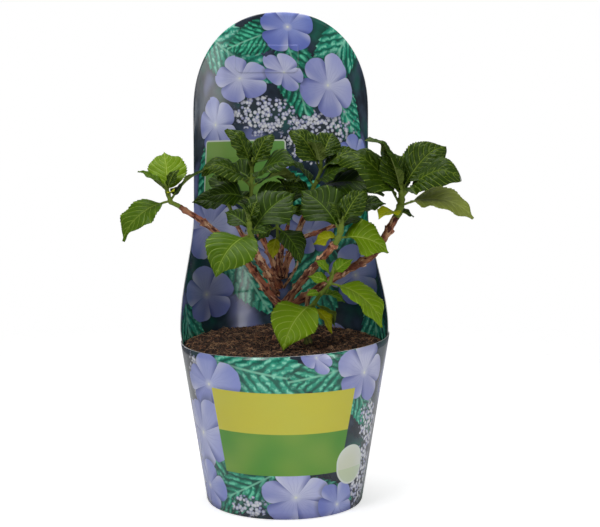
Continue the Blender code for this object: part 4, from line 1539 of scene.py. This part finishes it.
S, F, D, R, Y = Tint.SUNLIT, Tint.FRESH, Tint.DEEP, Tint.RIBBED, Tint.YOUNG
B, M, O = Tint.BRIGHT, Tint.LIME, Tint.OLIVE
SHOOTS = (
    Shoot("leaves_front_left", "bough_front_left", 11, 3.4, ((-36, -70, 311), (-38, -70, 324)), (
        Pair(0.5, 215, Leaf(81, 2, 0.8, F, 23), Leaf(75, 58, 0.9, D)),
        Pair(0.7, 320, Leaf(24, 10, 1.0, D), Leaf(41, 44, 1.0, D)),
        Pair(0.92, 220, Leaf(28, 74, 0.6, Y), Leaf(28, 74, 0.6, Y)))),
    Shoot("leaves_right", "bough_right", 12, 3.2, ((60, -50, 308), (62, -50, 319)), (
        Pair(0.3, 350, Leaf(63, 8, 1.2, S, 24), Leaf(33, 1, 1.3, M, -21)),
        Pair(0.6, 320, None, Leaf(73, 58, 1.0, D)),
        Pair(0.72, 65, Leaf(48, 36, 1.0, D), None),
        Pair(0.9, 20, Leaf(50, 68, 0.8, Y), Leaf(31, 74, 0.8, Y)))),
    Shoot("leaves_far_left", "bough_far_left", 13, 2.6, ((-124, -30, 341), (-128, -30, 354)), (
        Pair(0.5, 200, Leaf(74, -7, 0.4, F, 9), Leaf(62, 54, -0.6, D, 15)),
        Pair(0.78, 292, Leaf(20, 30, 1.0, M), Leaf(63, 63, 0.25, S, -12)),
        Pair(0.95, 195, Leaf(40, 52, 0.2, F), Leaf(27, 74, 0.5, Y)))),
    Shoot("leaves_far_right", "bough_far_right", 14, 4.2, ((129, -10, 337), (130, -10, 352)), (
        Pair(0.15, 220, Leaf(41, 15, 0.6, M, 14), Leaf(26, 0, 1.0, D)),
        Pair(0.4, 5, Leaf(90, 26, 0.3, O, -24), Leaf(92, 66, 0.8, R)),
        Pair(0.65, 325, Leaf(82, 54, 0.9, R), Leaf(61, 82, 0.6, R)),
        Pair(0.9, 10, Leaf(76, 66, 0.9, R), Leaf(75, 78, 0.1, R)))),
    Shoot("leaves_upper_left", "bough_upper_left", 15, 2.3, ((-37, 20, 354), (-36, 20, 377)), (
        Pair(0.15, 190, Leaf(54, 24, 1.0, D), Leaf(50, 20, 1.0, D)),
        Pair(0.45, 210, Leaf(69, 50, 0.6, R), Leaf(63, 34, -0.3, D)),
        Pair(0.62, 320, Leaf(70, 46, 0.9, D), Leaf(47, 36, 1.0, D)),
        Pair(0.86, 195, Leaf(56, 76, 1.0, Y), Leaf(49, 74, 0.9, Y)))),
    Shoot("leaves_upper_right", "bough_upper_right", 16, 2.3, ((32, 20, 351), (41, 20, 371), (41, 20, 382)), (
        Pair(0.3, 350, Leaf(88, 31, 0.6, D), Leaf(30, 25, 1.0, D)),
        Pair(0.42, 335, Leaf(61, 48, 0.8, D), Leaf(48, 58, -0.2, D)),
        Pair(0.78, 5, Leaf(55, 48, 0.5, R), Leaf(58, 70, 1.0, Y)),
        Pair(0.93, 240, Leaf(40, 68, 0.8, Y), Leaf(50, 64, 1.0, Y)))),
    Shoot("leaves_centre", "bough_centre", 17, 1.7, ((-8, -20, 314), (-8, -20, 325)), (
        Pair(0.3, 250, Leaf(27, -60, 0.8, M, -29), None),
        Pair(0.6, 350, Leaf(51, -28, 0.4, D, -25), Leaf(27, -20, 1.0, D)),
        Pair(0.85, 45, Leaf(35, 38, 0.8, F), Leaf(22, 40, 1.0, F)),
        Pair(0.97, 130, Leaf(30, 62, 1.0, Y), Leaf(27, 66, 1.0, Y)))),
    Shoot("leaves_low_right", "stem_low_right", 18, 2.5, ((38, -35, 238), (50, -45, 254), (52, -47, 264)), (
        Pair(0.15, 318, Leaf(38, -35, 0.3, M, 27), None),
        Pair(0.22, 206, Leaf(76, -9, 1.0, S, 27), Leaf(39, -27, 0.0, B, 3)),
        Pair(0.5, 20, Leaf(31, -6, 0.5, B), Leaf(18, 10, 1.0, B)),
        Pair(0.8, 345, Leaf(80, -6, 0.15, S, -7), Leaf(26, 30, 1.0, B)),
        Pair(0.95, 20, Leaf(31, 50, 0.8, B), Leaf(27, 56, 0.8, B)))),
    Shoot("leaves_back_left", "bough_back_left", 19, 2.1, ((-64, 45, 333), (-66, 45, 347)), (
        Pair(0.3, 190, Leaf(44, 26, 1.0, D), Leaf(36, 32, 1.0, D)),
        Pair(0.65, 290, None, Leaf(50, 56, 1.0, D)),
        Pair(0.92, 200, Leaf(31, 74, 1.0, Y), Leaf(30, 72, 1.0, Y)))),
    Shoot("leaves_back_right", "bough_back_right", 20, 2.1, ((74, 50, 322), (77, 50, 337)), (
        Pair(0.3, 10, Leaf(46, 32, 0.8, D), Leaf(44, 20, 1.0, D)),
        Pair(0.65, 280, Leaf(42, 42, 1.0, D), Leaf(47, 64, 1.0, D)),
        Pair(0.92, 200, Leaf(30, 74, 1.0, Y), Leaf(30, 70, 1.0, Y)))),
    Shoot("leaves_back", "bough_back", 21, 2.0, ((5, 50, 322), (6, 50, 338)), (
        Pair(0.3, 190, Leaf(40, 20, 1.0, D), Leaf(28, 36, 1.0, D)),
        Pair(0.65, 250, Leaf(26, 18, 1.0, D), Leaf(49, 60, 1.0, D)),
        Pair(0.92, 200, Leaf(29, 76, 1.0, Y), Leaf(29, 76, 1.0, Y)))),
)


PLAIN = np.array([0.0, 0.0, 0.1, 0.21, 0.33, 0.45, 0.57, 0.69, 0.8, 0.9, 0.96, 1.0])
NETTED = np.array([0.0, 0.0, 0.09, 0.18, 0.195, 0.29, 0.39, 0.405, 0.5, 0.59, 0.605, 0.7, 0.78, 0.795, 0.88,
                   0.95, 1.0])


@dataclass
class LeafRule:
    """The rule by which a leaf grows: the solids' rule, and the finer veins, teeth and quilting."""

    stalk_share: float = 0.13
    stalk_radius: float = 1.3 * MM
    stalk_young_radius: float = 0.9 * MM
    full_reach: float = 65.0 * MM
    ratio_young: float = 0.62
    ratio_full: float = 0.8
    widest: float = 0.42
    base_power: float = 0.7
    tip_power: float = 1.2
    drawn_out: tuple[float, float] = (0.25, 0.85)
    settles: float = 0.3
    droop_least: float = 15.0
    droop_per_reach: float = 45.0 / (70.0 * MM)
    droop_power: float = 1.2
    droop_ease: float = 0.65
    upright: tuple[float, float] = (40.0, 85.0)
    fold_full: float = 12.0
    fold_young: float = 30.0
    light_turn: float = 50.0
    thickness: float = 0.45 * MM
    vein_width: float = 0.55 * MM
    rib_width: float = 1.3 * MM
    quilt: float = 0.55 * MM
    quilt_ribbed: float = 0.95 * MM
    crinkle: float = 0.4 * MM
    margin_wave: float = 2.2 * MM
    tooth: float = 0.06
    round_tip_power: float = 0.8
    tip_curl: float = 0.16

    def half_width(self, share: Array, width: float, curled: bool) -> Array:
        """Half the blade's width at shares of its length: egg-shaped, drawn out to the tip unless curled."""
        power = math.log(0.5) / math.log(self.widest)
        swell = np.sin(np.pi * np.clip(share, 0.0, 1.0) ** power)
        tip_power = self.round_tip_power if curled else self.tip_power
        sharpness = mixed(self.base_power, tip_power, smooth_share(share, *self.drawn_out))
        return 0.5 * width * np.maximum(swell, 0.0) ** sharpness


class GrownLeaf:
    """One leaf in its place: the stalk, and the blade's fine veined mesh."""

    def __init__(self, rule: LeafRule, root: Array, heading: float, plan: Leaf, twist: float,
                 dice: np.random.Generator) -> None:
        """Works out the leaf's midrib.

        Args:
            rule: The rule of growth.
            root: Where the stalk leaves the stem.
            heading: The leaf's heading in radians.
            plan: Its reach, rise, face and tint.
            twist: Its twist in degrees.
            dice: Its own random numbers.
        """
        self.rule, self.plan, self.heading, self.twist, self.dice = rule, plan, heading, twist, dice
        self.reach = plan.reach * MM
        self.age = min(self.reach / rule.full_reach, 1.0)
        ease = 1.0 - rule.droop_ease * float(smooth_share(plan.rise, *rule.upright))
        self.droop = (rule.droop_least + rule.droop_per_reach * self.reach) * ease
        steps = 192
        self.shares = np.linspace(0.0, 1.0, steps + 1)
        middle = (self.shares[1:] + self.shares[:-1]) / 2
        moves = self.ahead(middle) * (self.reach / steps)
        self.line = np.concatenate([root[None], root[None] + np.cumsum(moves, axis=0)])
        self.length = self.reach * (1.0 - rule.stalk_share)
        self.width = self.length * mixed(rule.ratio_young, rule.ratio_full, self.age)
        self.fold = math.radians(mixed(rule.fold_young, rule.fold_full, self.age))
        self.stalk = mixed(rule.stalk_young_radius, rule.stalk_radius, self.age)

    def ahead(self, share: Array) -> Array:
        """The direction along the midrib at shares of the reach."""
        lift = np.radians(self.plan.rise - self.droop * share ** self.rule.droop_power)
        return np.stack([np.cos(lift) * math.cos(self.heading), np.cos(lift) * math.sin(self.heading),
                         np.sin(lift)], -1)

    def centre(self, share: Array) -> Array:
        """Points of the midrib at shares of the reach."""
        return np.stack([np.interp(share, self.shares, self.line[:, axis]) for axis in range(3)], -1)

    def sides(self, share: Array, blade: Array) -> tuple[Array, Array]:
        """The blade's sideways and upward directions at shares of the reach and of the blade."""
        ahead = self.ahead(share)
        level = np.array([-math.sin(self.heading), math.cos(self.heading), 0.0])
        normal = unit(np.cross(ahead, level))
        to_light = self.plan.face * self.rule.light_turn * math.cos(self.heading)
        lean = np.radians(self.twist * blade + to_light * smooth_share(blade, 0.0, self.rule.settles))[..., None]
        side = level * np.cos(lean) + normal * np.sin(lean)
        return side, unit(np.cross(ahead, side))

    def stalk_shape(self) -> tuple[Array, Array]:
        """The stalk as a tube that flattens into the blade's foot."""
        share = np.linspace(0.0, self.rule.stalk_share * 1.25, 10)
        radii = self.stalk * np.array([1.45, 1.2, 1.05, 1.0, 1.0, 1.0, 1.0, 0.95, 0.8, 0.5])
        return tube(self.centre(share), radii, 10)

    def rows(self) -> tuple[Array, Array, Array, int]:
        """The blade's rows: their place between base and tip, their side of a vein, and their tooth.

        Returns:
            The place, the side of the vein (0 where on none), the tooth's height, and the count of veins.
        """
        veins = 8 if self.plan.reach > 50 else 7 if self.plan.reach > 34 else 6
        veins += 2 if self.plan.tint in (Tint.RIBBED, Tint.YOUNG) else 0
        teeth, steps = 3, 4 if self.plan.reach > 30 else 3
        places, vein_side, tooth = [], [], []
        marks = np.concatenate([[0.0], (np.arange(veins) + 0.75) / (veins + 0.6), [1.0]])
        for k, (low, high) in enumerate(zip(marks, marks[1:])):
            count = teeth * steps
            for step in range(count):
                side = 1 if step == 0 and k > 0 else 0
                places.append(mixed(low, high, step / count))
                vein_side.append(side)
                tooth.append((step % steps) / (steps - 1))
            if k < veins:
                places.append(high)
                vein_side.append(-1)
                tooth.append(1.0)
        places.append(1.0)
        vein_side.append(0)
        tooth.append(0.0)
        return np.array(places), np.array(vein_side), np.array(tooth), veins

    def ripple(self, u: Array, v: Array, wavelength: float, waves: int = 7) -> Array:
        """A crinkled height of about one, from plane waves in random directions."""
        total = np.zeros_like(u)
        for _ in range(waves):
            way, phase = self.dice.uniform(0.0, 2.0 * np.pi, 2)
            length = wavelength * self.dice.uniform(0.7, 1.5)
            total += np.sin(2.0 * np.pi / length * (u * math.cos(way) + v * math.sin(way)) + phase)
        return total / math.sqrt(waves)

    def blade_shape(self, under: int, under_vein: int) -> tuple[Array, Array, Array]:
        """The blade as a closed mesh whose rows follow its side veins.

        Args:
            under: The material number of the underside.
            under_vein: The material number of the underside's veins.

        Returns:
            Its vertices, its quads and their material numbers.
        """
        rule = self.rule
        q, vein_side, tooth, veins = self.rows()
        young = self.plan.tint is Tint.YOUNG
        ribbed = self.plan.tint in (Tint.RIBBED, Tint.YOUNG)
        across = NETTED if ribbed else PLAIN
        half = len(across)
        upper, heights, places = [], [], []
        phase = self.dice.uniform(0.0, 2.0 * np.pi, 4)
        for sign in (-1.0, 1.0):
            t = np.broadcast_to(across, (len(q), half)).copy()
            start = q ** 1.3
            end = 1.0 - (1.0 - q) ** 1.8
            start_width = np.maximum(self.half_width(start), self.stalk)
            rib = np.minimum(mixed(rule.rib_width, 0.35 * MM, start) / 2 / start_width, 0.3)
            t = rib[:, None] + (1.0 - rib[:, None]) * t
            t[:, 0] = 0.0
            vein = rule.vein_width * mixed(0.7, 1.0, self.age) / self.length / 2
            shift = vein_side[:, None] * vein * (1.0 - 0.65 * t)
            s = start[:, None] + (end - start)[:, None] * t ** 1.15 + shift * smooth_share(t, 0.0, 0.08)
            s = np.clip(s, 0.0, 1.0)
            edge = np.maximum(self.half_width(s), mixed(self.stalk, 0.3 * MM, s))
            uneven = 1.0 + 0.05 * sign * math.sin(phase[0])
            teeth = 1.0 + rule.tooth * (tooth[:, None] - 0.3) * t ** 5 * smooth_share(s, 0.06, 0.2)
            out = edge * t * teeth * uneven
            along = rule.stalk_share + (1.0 - rule.stalk_share) * s
            centre = self.centre(along)
            side, normal = self.sides(along, s)
            u, v = s * self.length, out * sign
            between = q * (veins + 0.6) - 0.75
            dome = np.abs(np.sin(np.pi * between))[:, None] ** 0.7 * np.ones_like(t)
            hold = smooth_share(t, 0.0, 0.3) * (1.0 - 0.8 * smooth_share(t, 0.7, 1.0))
            hold = hold * smooth_share(s, 0.0, 0.15) * (1.0 - smooth_share(s, 0.85, 1.0))
            lumps = self.ripple(u, v, 9.0 * MM if not young else 5.5 * MM)
            quilt = (rule.quilt_ribbed if ribbed else rule.quilt) * mixed(0.55, 1.0, self.age)
            lift = quilt * (dome - 0.4) * hold * (1.0 + 0.35 * lumps)
            lift = lift + rule.crinkle * (1.5 if ribbed else 0.6) * self.ripple(u, v, 5.0 * MM) * hold
            wave = np.sin(2.0 * np.pi * 1.6 * s + phase[1 + (sign > 0)])
            wave = wave + 0.5 * np.sin(2.0 * np.pi * 3.7 * s + phase[3] * sign)
            lift = lift - (0.13 if ribbed else 0.05) * self.width * t ** 3 * smooth_share(s, 0.1, 0.4)
            if ribbed:
                lift = lift - rule.tip_curl * self.length * smooth_share(s, 0.66, 1.05) ** 1.3
            lift = lift + rule.margin_wave * self.age * wave * t ** 2 * smooth_share(s, 0.05, 0.3) \
                * (1.0 - 0.7 * smooth_share(s, 0.8, 1.0))
            bend = self.fold * smooth_share(s, 0.0, 0.08) * (1.0 - 0.5 * smooth_share(s, 0.9, 1.0))
            rise = out * np.sin(bend) * (1.15 - 0.3 * t)
            rise = rise + 0.35 * MM * (t > 0.0) * (t <= rib[:, None] + 1e-9)
            point = centre + side * (sign * out * np.cos(bend))[..., None] + normal * (rise + lift)[..., None]
            order = slice(None, None, -1) if sign < 0 else slice(1, None)
            upper.append(point[:, order])
            heights.append(normal[:, order])
            places.append(t[:, order])
        top = np.concatenate(upper, axis=1)
        normal = np.concatenate(heights, axis=1)
        t = np.concatenate(places, axis=1)
        thick = rule.thickness * mixed(0.75, 1.0, self.age) * (1.0 - 0.5 * t ** 3)
        on_vein = (vein_side != 0)[:, None] & (t > 0.02) & (t < 0.93)
        thick = thick + 0.35 * MM * on_vein * (1.0 - t)
        middle = top.shape[1] // 2
        ridge = np.zeros_like(t)
        ridge[:, middle - 1:middle + 2] = np.array([0.5, 1.0, 0.5])
        thick = thick + ridge * (1.1 * MM * (1.0 - q ** 0.7))[:, None]
        bottom = top - normal * thick[..., None]
        return self.closed(top, bottom, self.face_kinds(vein_side, across), under, under_vein)

    def half_width(self, share: Array) -> Array:
        """Half the blade's width at shares of its length."""
        return self.rule.half_width(share, self.width, self.plan.tint in (Tint.RIBBED, Tint.YOUNG))

    @staticmethod
    def face_kinds(vein_side: Array, across: Array) -> Array:
        """Which faces are blade (0), beside a vein (1) or vein (2).

        Args:
            vein_side: The side of a vein that each row is on.
            across: The columns' places between midrib and margin.

        Returns:
            A number for each face of the upper side, row by row.
        """
        rows, half = len(vein_side) - 1, len(across) - 1
        strip = (vein_side[:-1] == -1) & (vein_side[1:] == 1)
        kinds = np.zeros((rows, half), int)
        for shift in (-1, 1):
            kinds[np.roll(strip, shift)] = 1
        kinds[:, 1] = 1
        nets = np.flatnonzero(np.diff(across) < 0.02)
        nets = nets[nets > 0]
        interval = np.cumsum(strip)
        for k, column in enumerate(nets):
            kinds[(interval + k) % 2 == 0, column] = 1 if k % 2 else 2
        kinds[strip] = 2
        kinds[:, 0] = 2
        return np.concatenate([kinds[:, ::-1], kinds], axis=1)

    def closed(self, top: Array, bottom: Array, kinds: Array, under: int,
               under_vein: int) -> tuple[Array, Array, Array]:
        """Joins the blade's two faces round its margin and gives each face its colour.

        Args:
            top: The upper face's points, row by row.
            bottom: The lower face's points.
            kinds: What each face of the upper side is.
            under: The material number of the underside.
            under_vein: The material number of the underside's veins.

        Returns:
            The vertices, the quads and their material numbers.
        """
        rows, columns, _ = top.shape
        count = rows * columns
        face = grid_faces(rows, columns)
        number = np.arange(count).reshape(rows, columns)
        loop = np.concatenate([number[0], number[1:, -1], number[-1, -2::-1], number[-2:0:-1, 0]])
        after = np.roll(loop, -1)
        rim = np.stack([after, loop, loop + count, after + count], -1)
        kinds = kinds.ravel()
        blade = 3 * TINTS.index(self.plan.tint)
        marks = np.concatenate([blade + kinds, np.where(kinds == 2, under_vein, under),
                                np.full(len(rim), blade + 1)])
        points = np.concatenate([top.reshape(-1, 3), bottom.reshape(-1, 3)])
        return points, np.concatenate([face, face[:, ::-1] + count, rim]), marks


@dataclass
class Foliage:
    """Every leafy shoot: its stem and stalks as one piece, its blades as another."""

    rule: LeafRule = field(default_factory=LeafRule)
    limb_step: float = 11.0 * MM
    stem_step: float = 12.0 * MM
    collar: float = 2.0 * MM
    tip_share: float = 0.75
    twist_spread: float = 12.0
    fine_step: float = 1.2 * MM
    bud_length: float = 11.0 * MM

    def stem_path(self, shoot: Shoot) -> Array:
        """The shoot's stem, which goes on from its bough's tip across the running gap."""
        bough = next(limb for limb in LIMBS if limb.name == shoot.bough)
        before, tip = smooth_path(np.array(bough.points) * MM, self.limb_step)[-2:]
        ahead = unit(tip - before)
        foot = tip + ahead * GAP
        return smooth_path([foot, foot + ahead * self.collar, *(np.array(shoot.stem) * MM)], self.stem_step)

    @staticmethod
    def place_on(path: Array, share: float) -> Array:
        """The point at one share of a stem's length."""
        run = run_lengths(path)
        return np.array([np.interp(share * run[-1], run, path[:, axis]) for axis in range(3)])

    def leaves(self, shoot: Shoot, path: Array) -> list[GrownLeaf]:
        """Each leaf of a shoot by its rule: opposite pairs, with a seeded twist of each blade.

        Args:
            shoot: The shoot.
            path: Its stem.

        Returns:
            The leaves.
        """
        dice = np.random.default_rng(shoot.seed)
        made = []
        for pair in shoot.pairs:
            root = self.place_on(path, pair.share)
            for turn, plan in ((0.0, pair.first), (180.0, pair.second)):
                twist = dice.uniform(-self.twist_spread, self.twist_spread)
                if plan is not None:
                    own = np.random.default_rng(100 * shoot.seed + len(made))
                    heading = math.radians(pair.heading + turn + plan.turn)
                    made.append(GrownLeaf(self.rule, root, heading, plan, twist, own))
        return made

    def stem_shapes(self, shoot: Shoot, path: Array) -> list[tuple[Array, Array]]:
        """The stem with a swelling at each pair, and the bud at its tip."""
        fine = np.array([self.place_on(path, share) for share in np.linspace(0.0, 1.0, 40)])
        run = np.linspace(0.0, 1.0, 40)
        radii = shoot.radius * MM * mixed(1.0, self.tip_share, run)
        length = run_lengths(path)[-1]
        for pair in shoot.pairs:
            radii = radii * (1.0 + 0.28 * np.exp(-((run - pair.share) * length / (2.2 * MM)) ** 2))
        ahead = unit(path[-1] - path[-2])
        share = np.linspace(0.0, 1.0, 9)
        line = path[-1][None] - ahead[None] * 1.5 * MM + ahead[None] * (share * self.bud_length)[:, None]
        bud = tube(line, 2.1 * MM * np.sin(np.pi * (0.25 + 0.74 * share)) ** 0.9, 12)
        return [tube(fine, radii, 14), bud]

    def build(self, blades: Sequence[bpy.types.Material], stem: bpy.types.Material) -> None:
        """Builds every shoot.

        Args:
            blades: The leaf materials by number.
            stem: The finish of stems and stalks.
        """
        under, under_vein = len(blades) - 2, len(blades) - 1
        for shoot in SHOOTS:
            path = self.stem_path(shoot)
            stems, leaves = MeshHeap(), MeshHeap()
            for shape in self.stem_shapes(shoot, path):
                stems.add(*shape)
            for leaf in self.leaves(shoot, path):
                stems.add(*leaf.stalk_shape())
                leaves.add(*leaf.blade_shape(under, under_vein))
            made = add_piece(shoot.name + "_blades", leaves.mesh(shoot.name + "_blades"), blades)
            hand_over(made, "leaf", shoot.name)
            name = shoot.name.replace("leaves", "stalks")
            hand_over(add_piece(name, stems.mesh(name), (stem,)), "green_bark", shoot.name)


# Studio

@dataclass
class Studio:
    """The plain studio: a pale floor, soft lamps, and the camera at the photograph's angle."""

    camera_place: tuple[float, float, float] = (0.0, -1.75, 0.512)
    camera_down: float = 7.9
    camera_right: float = 0.57
    lens: float = 94.9
    floor_size: float = 2.6
    floor_fades: tuple[float, float] = (0.45, 1.2)
    floor_drop: float = 0.3 * MM
    floor_glow: float = 0.62
    backdrop_light: float = 0.17

    def build(self) -> None:
        """Builds the floor, the lamps, the backdrop's light and the camera."""
        self.build_floor()
        self.add_lamp("key", (-1.0, -1.3, 1.5), (0.0, 0.0, 0.3), (0.8, 0.8), 13.0)
        self.add_lamp("fill", (1.4, -1.2, 0.6), (0.0, 0.0, 0.25), (0.5, 1.4), 8.0)
        self.add_lamp("top", (-0.1, 0.25, 1.7), (0.0, 0.0, 0.3), (0.9, 0.7), 10.0)
        self.light_world()
        self.place_camera()
        view = bpy.context.scene.view_settings
        view.view_transform = "Standard"
        view.look = "None"

    def build_floor(self) -> None:
        """A plain pale floor."""
        half = self.floor_size / 2
        corners = np.array([(-half, -half, 0.0), (half, -half, 0.0), (half, half, 0.0), (-half, half, 0.0)])
        corners[:, 2] = -self.floor_drop
        mesh = mesh_of("floor", corners, [np.array([[0, 1, 2, 3]])])
        made, g, shader = new_material("studio_floor", 0.7)
        tint = g.blend(g.ease(g.noise(object_place(g), 3.0), 0.3, 0.7), hue(246, 246, 246), hue(250, 250, 250))
        g.put(shader.inputs["Base Color"], tint)
        shader.inputs["Emission Color"].default_value = (1.0, 1.0, 1.0, 1.0)
        seen = g.node("ShaderNodeLightPath").outputs["Is Camera Ray"]
        g.put(shader.inputs["Emission Strength"], g.math("MULTIPLY", seen, self.floor_glow))
        g.put(shader.inputs["Alpha"], g.ease(g.vector("LENGTH", object_place(g)), *self.floor_fades, 1.0, 0.0))
        add_piece("studio_floor", mesh, (made,))

    def add_lamp(self, name: str, place: tuple[float, float, float], target: tuple[float, float, float],
                 size: tuple[float, float], power: float) -> None:
        """One soft lamp.

        Args:
            name: The lamp's name.
            place: Where it stands.
            target: Where it points.
            size: Its two sides.
            power: Its power in watts.
        """
        data = bpy.data.lights.new(name, "AREA")
        data.shape = "RECTANGLE"
        data.size, data.size_y = size
        data.energy = power
        lamp = bpy.data.objects.new(name, data)
        bpy.context.scene.collection.objects.link(lamp)
        lamp.location = place
        lamp.rotation_euler = (Vector(target) - Vector(place)).to_track_quat("-Z", "Y").to_euler()

    def light_world(self) -> None:
        """A white backdrop that lights the object more gently than it shows."""
        world = bpy.data.worlds.new("studio")
        bpy.context.scene.world = world
        world.use_nodes = True
        g = Graph(world.node_tree)
        shade = world.node_tree.nodes["Background"]
        shade.inputs["Color"].default_value = (1.0, 1.0, 1.0, 1.0)
        seen = g.node("ShaderNodeLightPath").outputs["Is Camera Ray"]
        g.put(shade.inputs["Strength"], g.between(seen, self.backdrop_light, 1.0))

    def place_camera(self) -> None:
        """The camera, as fitted to the photograph."""
        data = bpy.data.cameras.new("camera")
        data.lens = self.lens
        camera = bpy.data.objects.new("camera", data)
        bpy.context.scene.collection.objects.link(camera)
        camera.location = self.camera_place
        down, right = math.radians(self.camera_down), math.radians(self.camera_right)
        ahead = Vector((math.sin(right) * math.cos(down), math.cos(right) * math.cos(down), -math.sin(down)))
        camera.rotation_euler = ahead.to_track_quat("-Z", "Y").to_euler()
        bpy.context.scene.camera = camera


# The prints

B, L, C = Motif.BLOOM, Motif.LEAF, Motif.FLORETS
BACK_SPOTS = (
    Spot(L, -62, 500, 62, 30, 0.95, 0.75), Spot(L, 72, 500, 60, 130, 0.95, 0.45),
    Spot(L, 20, 470, 52, 75, 0.9, 0.2), Spot(L, -30, 520, 40, 160, 0.9, 0.1),
    Spot(L, 84, 430, 52, 60, 0.9, 0.5), Spot(L, -84, 360, 60, 110, 0.9, 0.3),
    Spot(L, 20, 330, 60, 20, 0.9, 0.3), Spot(L, 70, 300, 60, 150, 0.9, 0.6),
    Spot(L, -50, 250, 66, 60, 0.9, 0.45), Spot(L, 40, 220, 66, 100, 0.9, 0.3),
    Spot(L, -140, 150, 70, 80, 0.9, 0.5), Spot(L, 140, 150, 70, 80, 0.9, 0.5),
    Spot(C, -24, 430, 42, 10, 0.55, 0.5), Spot(C, 48, 404, 52, -15, 0.6, 0.5),
    Spot(C, -66, 300, 34, 20, 0.6, 0.5), Spot(C, 90, 340, 30, 60, 0.6, 0.5),
    Spot(B, 8, 532, 37, 20, 0.8, 0.1), Spot(B, -50, 472, 38, 5, 0.75, 0.85),
    Spot(B, 58, 464, 42, 50, 0.85, 0.8), Spot(B, -84, 418, 34, 70, 0.9, 0.6),
    Spot(B, 4, 480, 31, 40, 0.65, 0.95), Spot(B, 98, 384, 30, 10, 0.9, 0.3),
    Spot(B, -24, 370, 36, 15, 0.7, 0.5), Spot(B, 34, 290, 36, 5, 0.8, 0.4),
    Spot(B, -92, 300, 50, 30, 0.9, 0.55), Spot(B, -10, 262, 30, 60, 0.8, 0.7),
    Spot(B, 96, 244, 46, 0, 0.85, 0.35), Spot(B, -104, 222, 48, 10, 0.75, 0.5),
    Spot(B, 60, 150, 40, 30, 0.9, 0.6), Spot(B, -60, 120, 40, 0, 0.9, 0.5),
)
FRONT_SPOTS = (
    Spot(L, -20, 166, 66, 10, 0.8, 0.6), Spot(L, 62, 168, 60, 170, 0.85, 0.4),
    Spot(L, -96, 60, 62, 70, 0.8, 0.2), Spot(L, 96, 128, 50, 60, 0.8, 0.6),
    Spot(L, 30, 22, 62, 5, 0.8, 0.3), Spot(L, -58, 26, 56, 150, 0.8, 0.25),
    Spot(C, -118, 150, 30, 80, 0.5, 0.5), Spot(C, 104, 40, 38, 100, 0.6, 0.5),
    Spot(C, 118, 96, 30, 80, 0.7, 0.5), Spot(C, -40, 14, 26, 0, 0.5, 0.5),
    Spot(B, -92, 148, 46, 10, 0.85, 0.4), Spot(B, -110, 88, 46, 50, 1.1, 0.6),
    Spot(B, 98, 160, 44, 30, 0.85, 0.95), Spot(B, 12, 26, 42, 15, 0.8, 0.9),
    Spot(B, 62, 12, 32, 60, 0.8, 0.4), Spot(B, -104, 26, 36, 30, 0.9, 0.4),
    Spot(B, 34, 184, 24, 40, 0.6, 0.9),
)
BACK_LABELS = (
    Label(-47.0, 366.0, 53.0, 34.0, 4.0, 0.0, 1.6, hue(112, 172, 84), hue(122, 178, 92), 380.0),
)
FRONT_LABELS = (
    Label(-2.0, 98.0, 76.5, 47.0, 1.5, 0.2, 0.0, hue(92, 160, 54), hue(222, 214, 66), 98.5),
    Label(81.0, 56.0, 21.0, 23.0, 20.5, 0.0, 2.2, hue(222, 236, 214), hue(240, 244, 236), 52.0),
)


def build_blades(effects: Effects) -> list[bpy.types.Material]:
    """The leaf materials: blade and vein of each tint, then the underside's blade and vein.

    Args:
        effects: The shared shader groups.

    Returns:
        The materials by number.
    """
    made = []
    for tint in TINTS:
        blade, beside, vein = tint.value
        name = tint.name.lower()
        made.append(BladeFinish("leaf_" + name, hue(*blade), 0.4).material(effects))
        made.append(BladeFinish("pale_" + name, hue(*beside), 0.4).material(effects))
        made.append(BladeFinish("vein_" + name, hue(*vein), 0.45).material(effects))
    made.append(BladeFinish("leaf_underside", hue(*UNDERSIDE), 0.62).material(effects))
    made.append(BladeFinish("vein_underside", hue(*UNDER_VEIN), 0.6).material(effects))
    return made


def main() -> None:
    """Builds the scene."""
    logging.basicConfig(level=logging.INFO, format="%(message)s")
    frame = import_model()
    effects = Effects()
    pot = frame["nodes"]["pot"]
    pot.data.materials.clear()
    pot.data.materials.append(PlasticFinish("pot_satin", hue(26, 26, 27), 0.45).material(effects))
    edge = PlasticFinish("cut_edge", hue(236, 238, 240), 0.6).material(effects)
    Sleeve().build(PrintFinish("back_print", BACK_SPOTS, BACK_LABELS).material(effects),
                   PrintFinish("front_print", FRONT_SPOTS, FRONT_LABELS).material(effects), edge)
    PeatBed().build(PeatFinish("peat", hue(22, 14, 11), hue(92, 66, 50), hue(156, 110, 78)).material(effects),
                    FibreFinish("peat_fibre", hue(90, 58, 42), hue(214, 168, 126)).material(effects))
    Framework().build({
        Wood.BARK: BarkFinish("reddish_bark", hue(86, 40, 32), hue(168, 96, 68), hue(196, 138, 100),
                              hue(236, 192, 154), 0.47).material(effects),
        Wood.TAN: BarkFinish("dead_bark", hue(116, 72, 48), hue(196, 146, 102), hue(212, 164, 116),
                             hue(236, 206, 168), 0.5).material(effects),
        Wood.GREEN: BarkFinish("green_stem", hue(60, 76, 24), hue(104, 126, 40), hue(120, 120, 50),
                               hue(150, 110, 70), 0.36).material(effects),
    })
    Foliage().build(build_blades(effects), BladeFinish("young_stem", hue(122, 142, 56), 0.5).material(effects))
    Studio().build()


if __name__ == "__main__":
    main()
